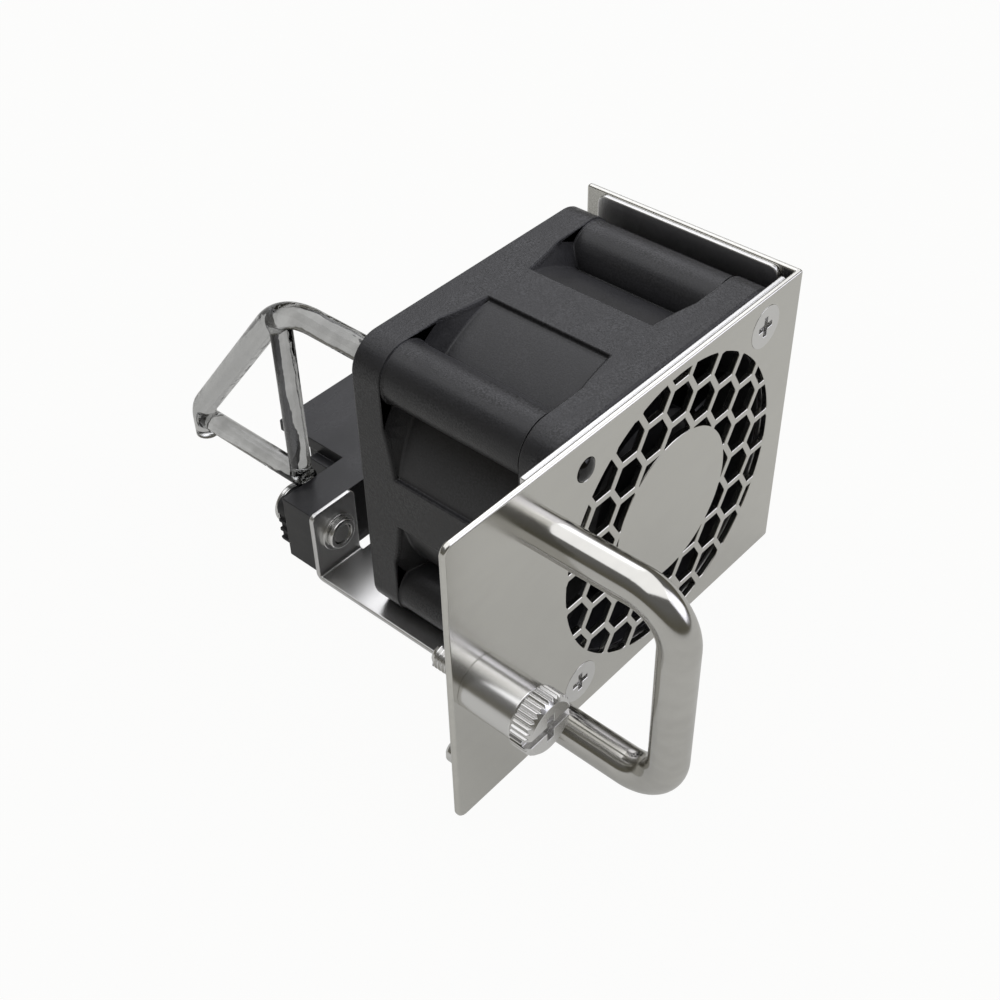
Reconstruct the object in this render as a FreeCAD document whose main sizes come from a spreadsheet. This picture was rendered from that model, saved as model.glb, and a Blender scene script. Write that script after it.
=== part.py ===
import FreeCAD, Part
import Sketcher
import math
import os

# Hot-swappable fan module for a one-unit rack switch, in millimetres.
# Frame: X along the faceplate, Y into the chassis (air moves along Y), Z up.
# Origin: the fan axis where it meets the front surface of the faceplate.

# Driving sizes. Each can be changed by itself; everything else follows from them.
SIZES = {
    # fan
    "fan_size": 40.0,              # square frame, side to side
    "fan_depth": 28.0,             # frame, front face to rear face
    "fan_hole_inset": 4.0,         # side to the corner hole's axis
    "fan_hole_dia": 3.5,
    "fan_bore_wall": 0.9,          # bore to the middle of each side
    "fan_tube_wall": 0.6,          # wall of the round duct between the flanges
    "fan_flange_t": 4.2,
    "fan_flare_depth": 1.4,        # length of the duct's flare behind each flange
    "fan_flare_rise": 2.6,         # how far the flare climbs over that length
    "fan_land_width": 7.2,         # flat strip left on the middle of each side
    "fan_corner_r": 4.0,
    "fan_edge_r": 0.5,             # round that clears the tray's bend
    "fan_post_r": 3.75,            # round corner post around a screw hole
    "fan_strut_width": 1.7,
    "fan_strut_depth": 2.0,
    "fan_strut_count": 4,
    "fan_strut_turn_deg": 45.0,    # first strut from the X axis
    "hub_base_dia": 21.0,
    "hub_base_t": 1.2,
    "hub_base_skin": 0.5,
    # faceplate
    "plate_t": 0.8,
    "plate_left_margin": 16.85,    # fan's side to the free end
    "plate_wall_gap": 0.05,        # tray's side wall to the faceplate's side wall
    "plate_top_margin": 0.1,       # fan's top to the faceplate's top
    "plate_corner_r": 1.3,
    "plate_side_corner_r": 0.4,
    "plate_fold_r": 0.45,          # outside of the sharp fold at the side wall
    "plate_fold_in_r": 0.1,
    "plate_side_margin": 1.25,     # fan's rear face to the side wall's rear edge
    "vent_rim_inset": 0.2,         # fan's bore to the vent's rim
    "vent_hub_inset": 0.4,         # rotor hub's edge to the solid disc in front of the motor
    "vent_pitch": 5.0,
    "vent_bar": 0.85,
    # tray behind the faceplate
    "tray_t": 0.7,
    "tray_left_margin": 1.1,       # fan's left side to the floor's edge
    "tray_wall_gap": 1.45,         # fan's right side to the tray's side wall
    "tray_front_margin": 4.6,      # fan's left side to the front wall's left edge
    "tray_front_short": 0.85,      # front wall's right edge to the side wall's inner face
    "tray_front_drop": 0.15,       # front wall's top below the faceplate's top
    "tray_wall_drop": 0.15,        # side wall's top below the faceplate's top
    "tray_wall_setback": 0.95,     # fan's front face to the side wall's front edge
    "tray_wall_short": 1.0,        # side wall's rear edge to the fan's rear face
    "tray_wall_corner_r": 1.2,
    "bend_r": 0.4,                 # inside radius of the tray's bends
    "bend_relief": 0.8,            # notch beside a bend
    "tray_tail": 9.7,              # fan's rear face to the back of the rear tabs
    "tab_width": 7.3,
    "tab_height": 10.7,
    "tab_corner_r": 0.9,
    # handle
    "handle_margin": 3.55,         # fan's side to the handle's plane
    "handle_pitch": 27.0,
    "handle_rod_dia": 4.4,
    "handle_reach": 17.5,          # faceplate front to the grip's centre line
    "handle_bend_r": 5.2,
    "handle_thread_dia": 2.5,
    "handle_thread_depth": 6.0,
    "handle_screw_head_dia": 4.6,
    "handle_screw_head_t": 1.6,
    "handle_screw_gap": 0.2,       # radial, screw head in the tray's hole
    "handle_socket_dia": 1.5,
    "handle_socket_depth": 0.8,
    # captive panel screw
    "captive_inset": 4.0,          # faceplate's free end to the screw's axis
    "captive_drop": 1.0,           # fan axis down to the screw's axis
    "ferrule_dia": 6.36,
    "ferrule_length": 6.9,
    "ferrule_spigot_dia": 5.4,
    "ferrule_floor_t": 0.6,
    "ferrule_lip_t": 0.4,
    "ferrule_chamber_dia": 4.6,
    "captive_shank_dia": 2.3,
    "captive_thread_dia": 2.8,
    "captive_tip_reach": 5.7,      # faceplate front to the threaded tip
    "captive_thread_length": 4.0,
    "captive_point_drop": 0.2,     # radius lost over the point
    "captive_point_length": 0.3,
    "captive_groove_depth": 0.1,
    "captive_play": 0.1,           # radial, screw in its ferrule
    "retainer_t": 0.5,
    "retainer_dia": 4.2,
    "retainer_setback": 1.2,       # ferrule's floor to the ring when screwed home
    "knob_dia": 6.94,
    "knob_length": 2.5,
    "knob_gap": 0.1,               # knob to ferrule when screwed home
    "knob_chamfer": 0.5,
    "knob_tooth_count": 34,
    "knob_tooth_depth": 0.25,
    "knob_slot_width": 1.0,
    "knob_slot_depth": 0.9,
    "knob_cross_length": 3.4,
    # keying stud on the faceplate's back
    "stud_inset": 3.4,             # faceplate's free end to the stud's axis
    "stud_rise": 6.4,              # faceplate's lower edge to the stud's axis
    "stud_dia": 2.9,
    "stud_reach": 3.85,
    "stud_neck_dia": 2.2,
    "stud_chamfer": 0.45,
    "stud_seat_depth": 0.5,        # blind hole in the faceplate's back
    # fan screws
    "fan_screw_head_dia": 5.5,
    "fan_screw_length": 9.0,
    "fan_screw_cross_width": 0.7,
    "fan_screw_cross_length": 2.6,
    "fan_screw_cross_depth": 1.0,
    # light pipe
    "pipe_dia": 3.2,
    "pipe_lens_dia": 2.75,
    "pipe_lens_proud": 0.5,
    "pipe_bend_r": 11.0,
    "pipe_foot_bend_r": 5.0,
    "pipe_turn_gap": 0.54,         # connector ears' rear to where the top leg turns down
    "pipe_slope_deg": 51.3,
    "pipe_foot_run": 19.83,        # that turn to the upright foot
    "pipe_foot_length": 2.75,       # low leg's axis to the foot's end
    "pipe_low_leg_drop": 0.05,     # connector's top to the low leg's axis
    "pipe_strut_run": 0.86,        # the top leg's turn to the strut
    "pipe_strut_dia": 2.8,
    "pipe_low_leg_dia": 2.9,
    "pipe_leg_setback": 0.15,      # strut's front to the low leg's end
    # connector
    "conn_ear_inset": 0.4,         # tray floor's edge to the ear's end
    "conn_ear_depth": 5.2,
    "conn_top_inset": 0.3,         # rear tabs' top to the housing's top
    "conn_floor_gap": 0.05,
    "conn_deck_half": 10.25,
    "conn_deck_length": 12.0,      # ears' rear to the deck's rear
    "conn_deck_t": 1.75,
    "conn_step_half": 11.7,
    "conn_step_depth": 5.0,
    "conn_core_half": 8.9,
    "conn_core_length": 8.1,
    "conn_slot_count": 6,
    "conn_slot_pitch": 2.6,
    "conn_slot_width": 1.2,
    "conn_slot_height": 4.6,
    "conn_slot_depth": 7.0,
    "contact_t": 0.6,
    "contact_height": 3.6,
    "conn_screw_inset": 3.3,       # ear's end to the screw's axis
    "conn_screw_depth": 4.2,       # housing's top to the screw's axis
    "conn_screw_dia": 2.9,
    "conn_screw_tail": 1.0,        # screw's point in front of the tab
    "conn_point_drop": 0.2,
    "conn_point_length": 0.3,
    "conn_screw_head_dia": 5.7,
    "conn_screw_head_t": 0.6,
    "conn_screw_head_edge": 0.15,
    "conn_socket_dia": 2.0,
    "conn_socket_depth": 0.9,
    "conn_screw_hole_dia": 3.3,
    "clinch_nut_dia": 5.2,
    "clinch_nut_t": 0.45,
    "clinch_collar_dia": 4.2,
    "clinch_collar_t": 1.25,
    "clinch_groove_width": 0.15,
    "clinch_groove_depth": 0.2,
    "clinch_chamfer": 0.15,
    "pad_t": 1.8,
    "pad_width": 6.0,
    "pad_height": 7.4,
    "pad_rise": 1.4,               # tray's underside to the pad's lower edge
    "pad_corner_r": 1.3,
    "pad_rib_t": 0.5,
    "pad_rib_depth": 0.35,
    "pad_rib_pitch": 1.5,
    "washer_dia": 5.6,
    "washer_t": 0.25,
    # motor
    "rotor_front_gap": 1.9,        # fan's front face to the hub's front
    "rotor_hub_wall": 0.9,
    "rotor_hub_front_t": 1.2,
    "rotor_rear_gap": 0.9,         # hub's rear rim to the board
    "rotor_hub_edge": 0.6,
    "rotor_tip_gap": 0.5,
    "rotor_boss_dia": 4.4,
    "rotor_boss_length": 3.0,
    "blade_count": 7,
    "blade_root_angle_deg": 48.0,  # blade to the fan's plane, at the hub
    "blade_tip_angle_deg": 33.0,
    "blade_camber": 0.12,          # share of the chord
    "blade_edge_t": 0.3,
    "blade_swell": 1.4,            # added to the edge's thickness along the chord
    "blade_front_gap": 1.6,        # hub's front to the blades' leading edge
    "blade_rear_gap": 4.9,         # blades' trailing edge to the hub's rear rim
    "shaft_dia": 1.96,
    "bearing_bore_dia": 2.0,
    "bearing_dia": 6.0,
    "bearing_width": 2.5,
    "bearing_front_gap": 0.6,      # rotor boss to the front bearing
    "bearing_rear_gap": 2.0,       # rear bearing to the frame's motor base
    "bearing_tube_dia": 7.4,
    "bearing_land_dia": 5.0,
    "tube_flange_dia": 9.0,
    "yoke_t": 0.5,
    "yoke_setback": 0.6,
    "yoke_rear_gap": 3.2,
    "magnet_t": 1.0,
    "magnet_setback": 4.5,
    "magnet_rear_gap": 2.5,
    "air_gap": 0.3,
    "stator_short": 1.5,           # magnet's end to the core's end
    "stator_rim": 1.1,
    "stator_neck_width": 2.2,
    "stator_slot_width": 1.6,
    "stator_hub_wall": 1.0,
    "winding_space": 1.9,          # core's hub to its rim; the rotor is built out from it
    "stator_pole_count": 4,
    "coil_t": 1.1,
    "coil_edge_r": 1.0,
    "board_t": 0.8,
    "board_dia": 18.4,
    "clip_dia": 3.6,
    "clip_t": 0.3,
    "clip_gap": 0.35,
    "clip_groove_depth": 0.2,
    "shaft_tail": 0.6,             # clip's rear face to the shaft's end
    "preload_dia": 3.96,
    "preload_t": 0.12,
    "running_gap": 0.05,
}

doc = FreeCAD.newDocument("fan_module")
dims = doc.addObject("Spreadsheet::Sheet", "dims")
row = 0
S = {}


def put(alias, value):
    """Write one size into the sheet under its alias and keep its value."""
    global row
    row += 1
    dims.set("A%d" % row, alias)
    dims.set("B%d" % row, repr(float(value)))
    dims.setAlias("B%d" % row, alias)
    S[alias] = float(value)
    return S[alias]


for alias, value in SIZES.items():
    put(alias, value)


def derive():
    """Places and sizes that follow from the driving sizes."""
    g = S
    put("zero", 0.0)
    # stack along Y: faceplate, tray wall, fan
    put("fan_front", g["plate_t"] + g["tray_t"])
    put("fan_rear", g["fan_front"] + g["fan_depth"])
    put("fan_half", g["fan_size"] / 2)
    put("fan_low", -g["fan_size"] / 2)
    put("fan_hole_x", g["fan_half"] - g["fan_hole_inset"])
    put("fan_hole_low", -g["fan_hole_x"])
    put("fan_hole_r", g["fan_hole_dia"] / 2)
    put("fan_bore_r", g["fan_half"] - g["fan_bore_wall"])
    put("fan_tube_r", g["fan_bore_r"] + g["fan_tube_wall"])
    put("fan_flare_r", g["fan_tube_r"] + g["fan_flare_rise"])
    put("fan_mid_front", g["fan_front"] + g["fan_flange_t"])
    put("fan_mid_rear", g["fan_rear"] - g["fan_flange_t"])
    put("fan_mid_depth", g["fan_depth"] - 2 * g["fan_flange_t"])
    put("fan_rear_flare", g["fan_mid_rear"] - g["fan_flare_depth"])
    put("fan_land_left", -g["fan_land_width"] / 2)
    put("hub_base_r", g["hub_base_dia"] / 2)
    put("hub_base_front", g["fan_rear"] - g["hub_base_t"])
    put("strut_front", g["fan_rear"] - g["fan_strut_depth"])
    # faceplate
    put("tray_right_reach", g["fan_half"] + g["tray_wall_gap"] + g["tray_t"])
    put("plate_inner_right", g["tray_right_reach"] + g["plate_wall_gap"])
    put("plate_right_reach", g["plate_inner_right"] + g["plate_t"])
    put("plate_left_reach", g["fan_half"] + g["plate_left_margin"])
    put("plate_left", -g["plate_left_reach"])
    put("plate_top_reach", g["fan_half"] + g["plate_top_margin"])
    put("plate_bottom", g["fan_low"] - g["tray_t"])
    put("plate_height", g["plate_top_reach"] - g["plate_bottom"])
    put("plate_side_depth", g["fan_rear"] + g["plate_side_margin"])
    put("vent_outer_r", g["fan_bore_r"] - g["vent_rim_inset"])
    put("tube_r", g["bearing_tube_dia"] / 2)
    put("stator_hub_r", g["tube_r"] + g["stator_hub_wall"])
    put("stator_rim_r", g["stator_hub_r"] + g["winding_space"])
    put("stator_r", g["stator_rim_r"] + g["stator_rim"])
    put("magnet_r", g["stator_r"] + g["air_gap"])
    put("yoke_inner_r", g["magnet_r"] + g["magnet_t"])
    put("rotor_cup_r", g["yoke_inner_r"] + g["yoke_t"])
    put("rotor_hub_r", g["rotor_cup_r"] + g["rotor_hub_wall"])
    put("vent_inner_r", g["rotor_hub_r"] - g["vent_hub_inset"])
    # tray
    put("tray_left_reach", g["fan_half"] + g["tray_left_margin"])
    put("tray_left", -g["tray_left_reach"])
    put("tray_front_left", -g["fan_half"] - g["tray_front_margin"])
    put("tray_wall_inner", g["tray_right_reach"] - g["tray_t"])
    put("tray_front_right", g["tray_wall_inner"] - g["tray_front_short"])
    put("tray_wall_start", g["fan_front"] + g["tray_wall_setback"])
    put("tray_wall_end", g["fan_rear"] - g["tray_wall_short"])
    put("tray_depth", g["fan_rear"] + g["tray_tail"])
    put("tray_front_top", g["plate_top_reach"] - g["tray_front_drop"])
    put("tray_wall_top", g["plate_top_reach"] - g["tray_wall_drop"])
    put("tab_front", g["tray_depth"] - g["tray_t"])
    put("tab_top", g["plate_bottom"] + g["tab_height"])
    put("tab_left_inner", g["tray_left"] + g["tab_width"])
    put("tab_right_inner", g["tray_left_reach"] - g["tab_width"])
    put("tray_bend_r", g["bend_r"] + g["tray_t"])
    # handle
    put("handle_x", -g["fan_half"] - g["handle_margin"])
    put("handle_top", g["handle_pitch"] / 2)
    put("handle_low", -g["handle_pitch"] / 2)
    put("handle_grip", -g["handle_reach"])
    put("handle_rod_r", g["handle_rod_dia"] / 2)
    put("handle_thread_r", g["handle_thread_dia"] / 2)
    put("handle_clear_r", g["handle_screw_head_dia"] / 2 + g["handle_screw_gap"])
    # captive screw
    put("captive_x", g["plate_left"] + g["captive_inset"])
    put("captive_z", -g["captive_drop"])
    put("spigot_r", g["ferrule_spigot_dia"] / 2)
    put("ferrule_r", g["ferrule_dia"] / 2)
    put("ferrule_end", -g["ferrule_length"])
    put("ferrule_floor", g["plate_t"] - g["ferrule_floor_t"])
    put("ferrule_lip", -g["ferrule_length"] + g["ferrule_lip_t"])
    put("chamber_r", g["ferrule_chamber_dia"] / 2)
    put("captive_bore_r", g["captive_thread_dia"] / 2 + g["captive_play"])
    put("captive_shank_r", g["captive_shank_dia"] / 2)
    put("captive_thread_r", g["captive_thread_dia"] / 2)
    put("captive_thread_end", g["captive_tip_reach"] - g["captive_thread_length"])
    put("captive_groove_r", g["captive_shank_r"] - g["captive_groove_depth"])
    put("retainer_rear", g["ferrule_floor"] - g["retainer_setback"])
    put("retainer_front", g["retainer_rear"] - g["retainer_t"])
    put("knob_rear", g["ferrule_end"] - g["knob_gap"])
    put("knob_front", g["knob_rear"] - g["knob_length"])
    put("knob_r", g["knob_dia"] / 2)
    # stud
    put("stud_x", g["plate_left"] + g["stud_inset"])
    put("stud_z", g["plate_bottom"] + g["stud_rise"])
    put("stud_r", g["stud_dia"] / 2)
    put("stud_neck_r", g["stud_neck_dia"] / 2)
    # fan screws, flush with the faceplate in a 90 degree countersink
    put("fan_screw_r", g["fan_hole_r"] - g["running_gap"])
    put("fan_screw_head_r", g["fan_screw_head_dia"] / 2)
    put("fan_screw_cone", g["fan_screw_head_r"] - g["fan_screw_r"])
    # light pipe
    put("pipe_x", -g["fan_hole_x"])
    put("pipe_z", g["fan_hole_x"])
    put("pipe_r", g["pipe_dia"] / 2)
    put("lens_r", g["pipe_lens_dia"] / 2)
    put("lens_hole_r", g["lens_r"] + g["running_gap"])
    put("pipe_strut_r", g["pipe_strut_dia"] / 2)
    put("pipe_low_leg_r", g["pipe_low_leg_dia"] / 2)
    # connector
    put("conn_front", g["tray_depth"])
    put("conn_ear_rear", g["tray_depth"] + g["conn_ear_depth"])
    put("conn_top", g["tab_top"] - g["conn_top_inset"])
    put("conn_bottom", g["fan_low"] + g["conn_floor_gap"])
    put("conn_ear_half", g["tray_left_reach"] - g["conn_ear_inset"])
    put("conn_ear_left", -g["conn_ear_half"])
    put("conn_deck_rear", g["conn_ear_rear"] + g["conn_deck_length"])
    put("conn_core_rear", g["conn_ear_rear"] + g["conn_core_length"])
    put("conn_deck_left", -g["conn_deck_half"])
    put("conn_deck_low", g["conn_top"] - g["conn_deck_t"])
    put("conn_step_left", -g["conn_step_half"])
    put("conn_core_left", -g["conn_core_half"])
    put("conn_screw_z", g["conn_top"] - g["conn_screw_depth"])
    put("conn_screw_x", g["conn_ear_half"] - g["conn_screw_inset"])
    put("conn_screw_left", -g["conn_screw_x"])
    put("conn_screw_tip", g["tab_front"] - g["conn_screw_tail"])
    put("pad_bottom", g["plate_bottom"] + g["pad_rise"])
    put("conn_screw_hole_r", g["conn_screw_hole_dia"] / 2)
    put("pad_rear", g["conn_ear_rear"] + g["pad_t"])
    put("washer_rear", g["pad_rear"] + g["washer_t"])
    # motor, from the hub's front backwards
    put("board_rear", g["hub_base_front"] - g["hub_base_t"])
    put("board_front", g["board_rear"] - g["board_t"])
    put("rotor_front", g["fan_front"] + g["rotor_front_gap"])
    put("rotor_cup_front", g["rotor_front"] + g["rotor_hub_front_t"])
    put("rotor_rear", g["board_front"] - g["rotor_rear_gap"])
    put("rotor_hub_length", g["rotor_rear"] - g["rotor_front"])
    put("blade_depth", g["rotor_hub_length"] - g["blade_front_gap"] - g["blade_rear_gap"])
    put("rotor_boss_r", g["rotor_boss_dia"] / 2)
    put("rotor_boss_rear", g["rotor_cup_front"] + g["rotor_boss_length"])
    put("rotor_tip_r", g["fan_bore_r"] - g["rotor_tip_gap"])
    put("shaft_r", g["shaft_dia"] / 2)
    put("bearing_front", g["rotor_boss_rear"] + g["bearing_front_gap"])
    put("bearing_rear", g["hub_base_front"] - g["bearing_rear_gap"] - g["bearing_width"])
    put("bearing_r", g["bearing_dia"] / 2)
    put("bearing_bore_r", g["bearing_bore_dia"] / 2)
    put("bearing_land_r", g["bearing_land_dia"] / 2)
    put("tube_flange_r", g["tube_flange_dia"] / 2)
    put("tube_rear", g["fan_rear"] - g["hub_base_skin"])
    put("clip_front", g["bearing_rear"] + g["bearing_width"] + g["clip_gap"])
    put("clip_rear", g["clip_front"] + g["clip_t"])
    put("clip_r", g["clip_dia"] / 2)
    put("shaft_rear", g["clip_rear"] + g["shaft_tail"])
    put("yoke_front", g["rotor_cup_front"] + g["yoke_setback"])
    put("yoke_rear", g["rotor_rear"] - g["yoke_rear_gap"])
    put("magnet_front", g["yoke_front"] + g["magnet_setback"])
    put("magnet_rear", g["yoke_rear"] - g["magnet_rear_gap"])
    put("stator_front", g["magnet_front"] + g["stator_short"])
    put("stator_length", g["magnet_rear"] - g["stator_short"] - g["stator_front"])
    put("board_r", g["board_dia"] / 2)

    # countersinks
    put("sink_depth", g["fan_screw_head_r"] - g["fan_hole_r"])
    put("sink_clear_r", g["fan_screw_head_r"] + g["running_gap"])
    put("stud_seat_y", g["plate_t"] - g["stud_seat_depth"])
    # tray folds
    put("floor_rear", g["tray_depth"] - g["tray_bend_r"] - g["running_gap"])
    put("relief_x", g["tray_front_right"] - g["bend_relief"] / 2)
    put("relief_front", g["plate_t"] + g["tray_bend_r"] + g["running_gap"])
    put("relief_rear", g["tray_wall_end"] + g["bend_relief"])
    put("front_low", g["plate_bottom"] + g["tray_bend_r"] + g["bend_r"])
    put("clinch_hole_r", g["clinch_collar_dia"] / 2)
    # handle screws
    put("handle_head_r", g["handle_screw_head_dia"] / 2)
    put("handle_screw_in", g["handle_thread_depth"] - g["plate_t"])
    put("handle_screw_tip", -g["handle_screw_in"])
    put("handle_screw_len", g["handle_screw_in"] + g["plate_t"])
    put("handle_socket_r", g["handle_socket_dia"] / 2)
    put("handle_socket_y", g["plate_t"] + g["handle_screw_head_t"] - g["handle_socket_depth"])
    # captive screw set
    put("ferrule_edge", g["ferrule_r"] - g["ferrule_lip_t"] / 2)
    put("ferrule_edge_y", g["ferrule_end"] + g["ferrule_lip_t"] / 2)
    put("captive_tip_r", g["captive_thread_r"] - g["captive_point_drop"])
    put("captive_tip_y", g["captive_tip_reach"] - g["captive_point_length"])
    put("neck_front", g["knob_front"] + g["knob_length"] / 2)
    put("retainer_r", g["retainer_dia"] / 2)
    put("retainer_bore_r", g["captive_groove_r"] + g["running_gap"])
    put("groove_front", g["retainer_front"] - g["running_gap"])
    put("groove_rear", g["retainer_rear"] + g["running_gap"])
    put("knob_face_r", g["knob_r"] - g["knob_chamfer"])
    put("knob_chamfer_y", g["knob_front"] + g["knob_chamfer"])
    put("tooth_r", g["knob_r"] - g["knob_tooth_depth"])
    put("tooth_out_r", g["knob_r"] + g["knob_tooth_depth"])
    put("tooth_out_half", 2 * g["knob_tooth_depth"])
    put("slot_half", g["knob_slot_width"] / 2)
    put("cross_half", g["knob_cross_length"] / 2)
    # stud tip
    put("stud_tip_r", g["stud_r"] - g["stud_chamfer"])
    put("stud_tip_y", g["stud_reach"] - g["stud_chamfer"])
    # fan screw recess
    put("screw_tip_y", g["fan_screw_length"])
    put("cross_wh", -g["fan_screw_cross_width"] / 2)
    put("cross_lh", -g["fan_screw_cross_length"] / 2)
    # light pipe: rod path, lens dome, low leg and strut
    slope = math.radians(g["pipe_slope_deg"])
    put("pipe_start", g["plate_t"])
    put("pipe_first_turn", g["conn_ear_rear"] + g["pipe_turn_gap"])
    put("pipe_first_end", g["pipe_first_turn"] - g["pipe_bend_r"] * math.tan(slope / 2))
    put("pipe_foot_reach", g["pipe_first_turn"] + g["pipe_foot_run"])
    put("pipe_strut_reach", g["pipe_first_turn"] + g["pipe_strut_run"])
    put("low_leg_z", g["conn_top"] - g["pipe_low_leg_drop"])
    put("pipe_foot_z", g["low_leg_z"] - g["pipe_foot_length"])
    put("low_leg_end", g["pipe_strut_reach"] - g["pipe_strut_r"] + g["pipe_leg_setback"])
    put("low_leg_length", g["pipe_foot_reach"] - g["low_leg_end"])
    along_bend = g["pipe_strut_reach"] - g["pipe_first_end"]
    fall = g["pipe_bend_r"] - math.sqrt(g["pipe_bend_r"] ** 2 - along_bend ** 2)
    put("strut_length", g["pipe_z"] - fall - g["pipe_strut_r"] / 2 - g["low_leg_z"])
    # fan struts and blocks
    put("fan_low_side", -g["fan_half"])
    put("fan_across", g["fan_size"])
    put("strut_inner", g["tube_r"] + g["hub_base_t"])
    put("strut_reach_len", g["fan_tube_r"] - g["strut_inner"])
    put("strut_side", -g["fan_strut_width"] / 2)
    put("seat_depth", g["tube_rear"] - g["hub_base_front"])
    # hub front
    put("hub_shoulder_r", g["rotor_hub_r"] - g["rotor_hub_edge"])
    put("hub_shoulder_y", g["rotor_front"] + g["rotor_hub_edge"])
    # rotor parts
    put("shaft_front", g["rotor_cup_front"])
    put("clip_groove_r", g["shaft_r"] - g["clip_groove_depth"])
    put("preload_in_r", g["shaft_r"])
    put("preload_out_r", g["preload_dia"] / 2)
    put("preload_mid", g["rotor_boss_rear"] + g["preload_t"])
    put("preload_low", g["bearing_front"] - g["running_gap"] - g["preload_t"])
    put("preload_end", g["bearing_front"] - g["running_gap"])
    # stator parts
    put("bearing_front_end", g["bearing_front"] + g["bearing_width"])
    put("tube_front", g["bearing_front"])
    put("bearing_rear_end", g["bearing_rear"] + g["bearing_width"])
    put("neck_half", -g["stator_neck_width"] / 2)
    put("neck_start", g["stator_hub_r"] - g["stator_hub_wall"] / 2)
    put("neck_length", g["stator_rim_r"] + g["stator_rim"] / 2 - g["neck_start"])
    put("gap_half", -g["stator_slot_width"] / 2)
    put("gap_start", g["stator_rim_r"] - g["air_gap"])
    put("gap_length", g["stator_r"] + g["air_gap"] - g["gap_start"])
    # connector and its fixings
    put("ear_width", 2 * g["conn_ear_half"])
    put("conn_height", g["conn_top"] - g["conn_bottom"])
    put("deck_width", 2 * g["conn_deck_half"])
    put("deck_depth", g["conn_deck_rear"] - g["conn_ear_rear"])
    put("step_width", 2 * g["conn_step_half"])
    put("step_height", g["conn_deck_low"] - g["conn_bottom"])
    put("core_width", 2 * g["conn_core_half"])
    put("core_depth", g["conn_core_rear"] - g["conn_ear_rear"])
    put("conn_shank_r", g["conn_screw_dia"] / 2)
    put("conn_head_r", g["conn_screw_head_dia"] / 2)
    put("conn_head_rear", g["washer_rear"] + g["conn_screw_head_t"])
    put("conn_tip_r", g["conn_shank_r"] - g["conn_point_drop"])
    put("conn_tip_y", g["conn_screw_tip"] + g["conn_point_length"])
    put("conn_socket_r", g["conn_socket_dia"] / 2)
    put("conn_socket_y", g["conn_head_rear"] - g["conn_socket_depth"])
    put("conn_head_edge_r", g["conn_head_r"] - g["conn_screw_head_edge"])
    put("conn_head_edge_y", g["conn_head_rear"] - g["conn_screw_head_edge"])
    put("washer_r", g["washer_dia"] / 2)
    put("washer_in_r", g["conn_screw_hole_r"])
    put("nut_r", g["clinch_nut_dia"] / 2)
    put("nut_collar_r", g["clinch_collar_dia"] / 2)
    put("nut_front", g["tab_front"] - g["clinch_nut_t"])
    put("nut_groove_front", g["nut_front"] - g["clinch_groove_width"])
    put("nut_groove_r", g["nut_collar_r"] - g["clinch_groove_depth"])
    put("nut_collar_front", g["tab_front"] - g["clinch_collar_t"])
    put("nut_chamfer_y", g["nut_collar_front"] + g["clinch_chamfer"])
    put("nut_mouth_r", g["nut_collar_r"] - g["clinch_chamfer"])
    put("nut_bore_r", g["conn_shank_r"])


derive()


def num(key):
    """Value of an alias, of its negative, or of a plain number."""
    if isinstance(key, (int, float)):
        return float(key)
    if key.startswith("-"):
        return -S[key[1:]]
    return S[key]


def bind(obj, prop, key):
    """Tie one property to the sheet."""
    if isinstance(key, (int, float)):
        raise ValueError("a bound size needs a name: %s.%s" % (obj.Name, prop))
    sign = "-" if key.startswith("-") else ""
    obj.setExpression(prop, "%sdims.%s" % (sign, key.lstrip("-")))


def place(obj, x="zero", y="zero", z="zero"):
    """Tie an object's place to the sheet."""
    for axis, key in (("x", x), ("y", y), ("z", z)):
        bind(obj, "Placement.Base." + axis, key)
    return obj


# Part primitives, placed and sized from the sheet

ALONG_Y = FreeCAD.Rotation(FreeCAD.Vector(1, 0, 0), -90)


def box(name, x0, y0, z0, dx, dy, dz):
    """Block from its low corner and three lengths, all named sizes."""
    b = doc.addObject("Part::Box", name)
    for prop, key in (("Length", dx), ("Width", dy), ("Height", dz)):
        bind(b, prop, key)
    return place(b, x0, y0, z0)


def rod(name, radius, y0, length, x="zero", z="zero"):
    """Cylinder along +Y from y0."""
    c = doc.addObject("Part::Cylinder", name)
    c.Placement = FreeCAD.Placement(FreeCAD.Vector(0, 0, 0), ALONG_Y)
    bind(c, "Radius", radius)
    bind(c, "Height", length)
    return place(c, x, y0, z)


def cone(name, r_front, r_rear, y0, length, x="zero", z="zero"):
    """Cone along +Y from y0, r_front at y0 and r_rear at its end."""
    c = doc.addObject("Part::Cone", name)
    c.Placement = FreeCAD.Placement(FreeCAD.Vector(0, 0, 0), ALONG_Y)
    bind(c, "Radius1", r_front)
    bind(c, "Radius2", r_rear)
    bind(c, "Height", length)
    return place(c, x, y0, z)


def fuse(name, shapes):
    """Union of several objects."""
    f = doc.addObject("Part::MultiFuse", name)
    f.Shapes = shapes
    f.Refine = True
    return f


def cut(name, base, tools):
    """Base with the tools taken out of it."""
    tool = tools[0] if len(tools) == 1 else fuse(name + "_tools", tools)
    c = doc.addObject("Part::Cut", name)
    c.Base = base
    c.Tool = tool
    c.Refine = True
    return c


def feature(name, shape):
    """Shape made with Part's own functions from the sheet's values."""
    f = doc.addObject("Part::Feature", name)
    f.Shape = shape
    return f


def around_axis(name, shape, count, step, start=0.0):
    """Copies of a shape turned about the fan's axis by equal steps."""
    copies = []
    for i in range(count):
        one = shape.copy()
        one.rotate(FreeCAD.Vector(0, 0, 0), FreeCAD.Vector(0, 1, 0), start + step * i)
        copies.append(one)
    return feature(name, Part.makeCompound(copies))


# PartDesign bodies and sketches

def body(name):
    """New body whose label will name its file."""
    return doc.addObject("PartDesign::Body", name)


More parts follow.
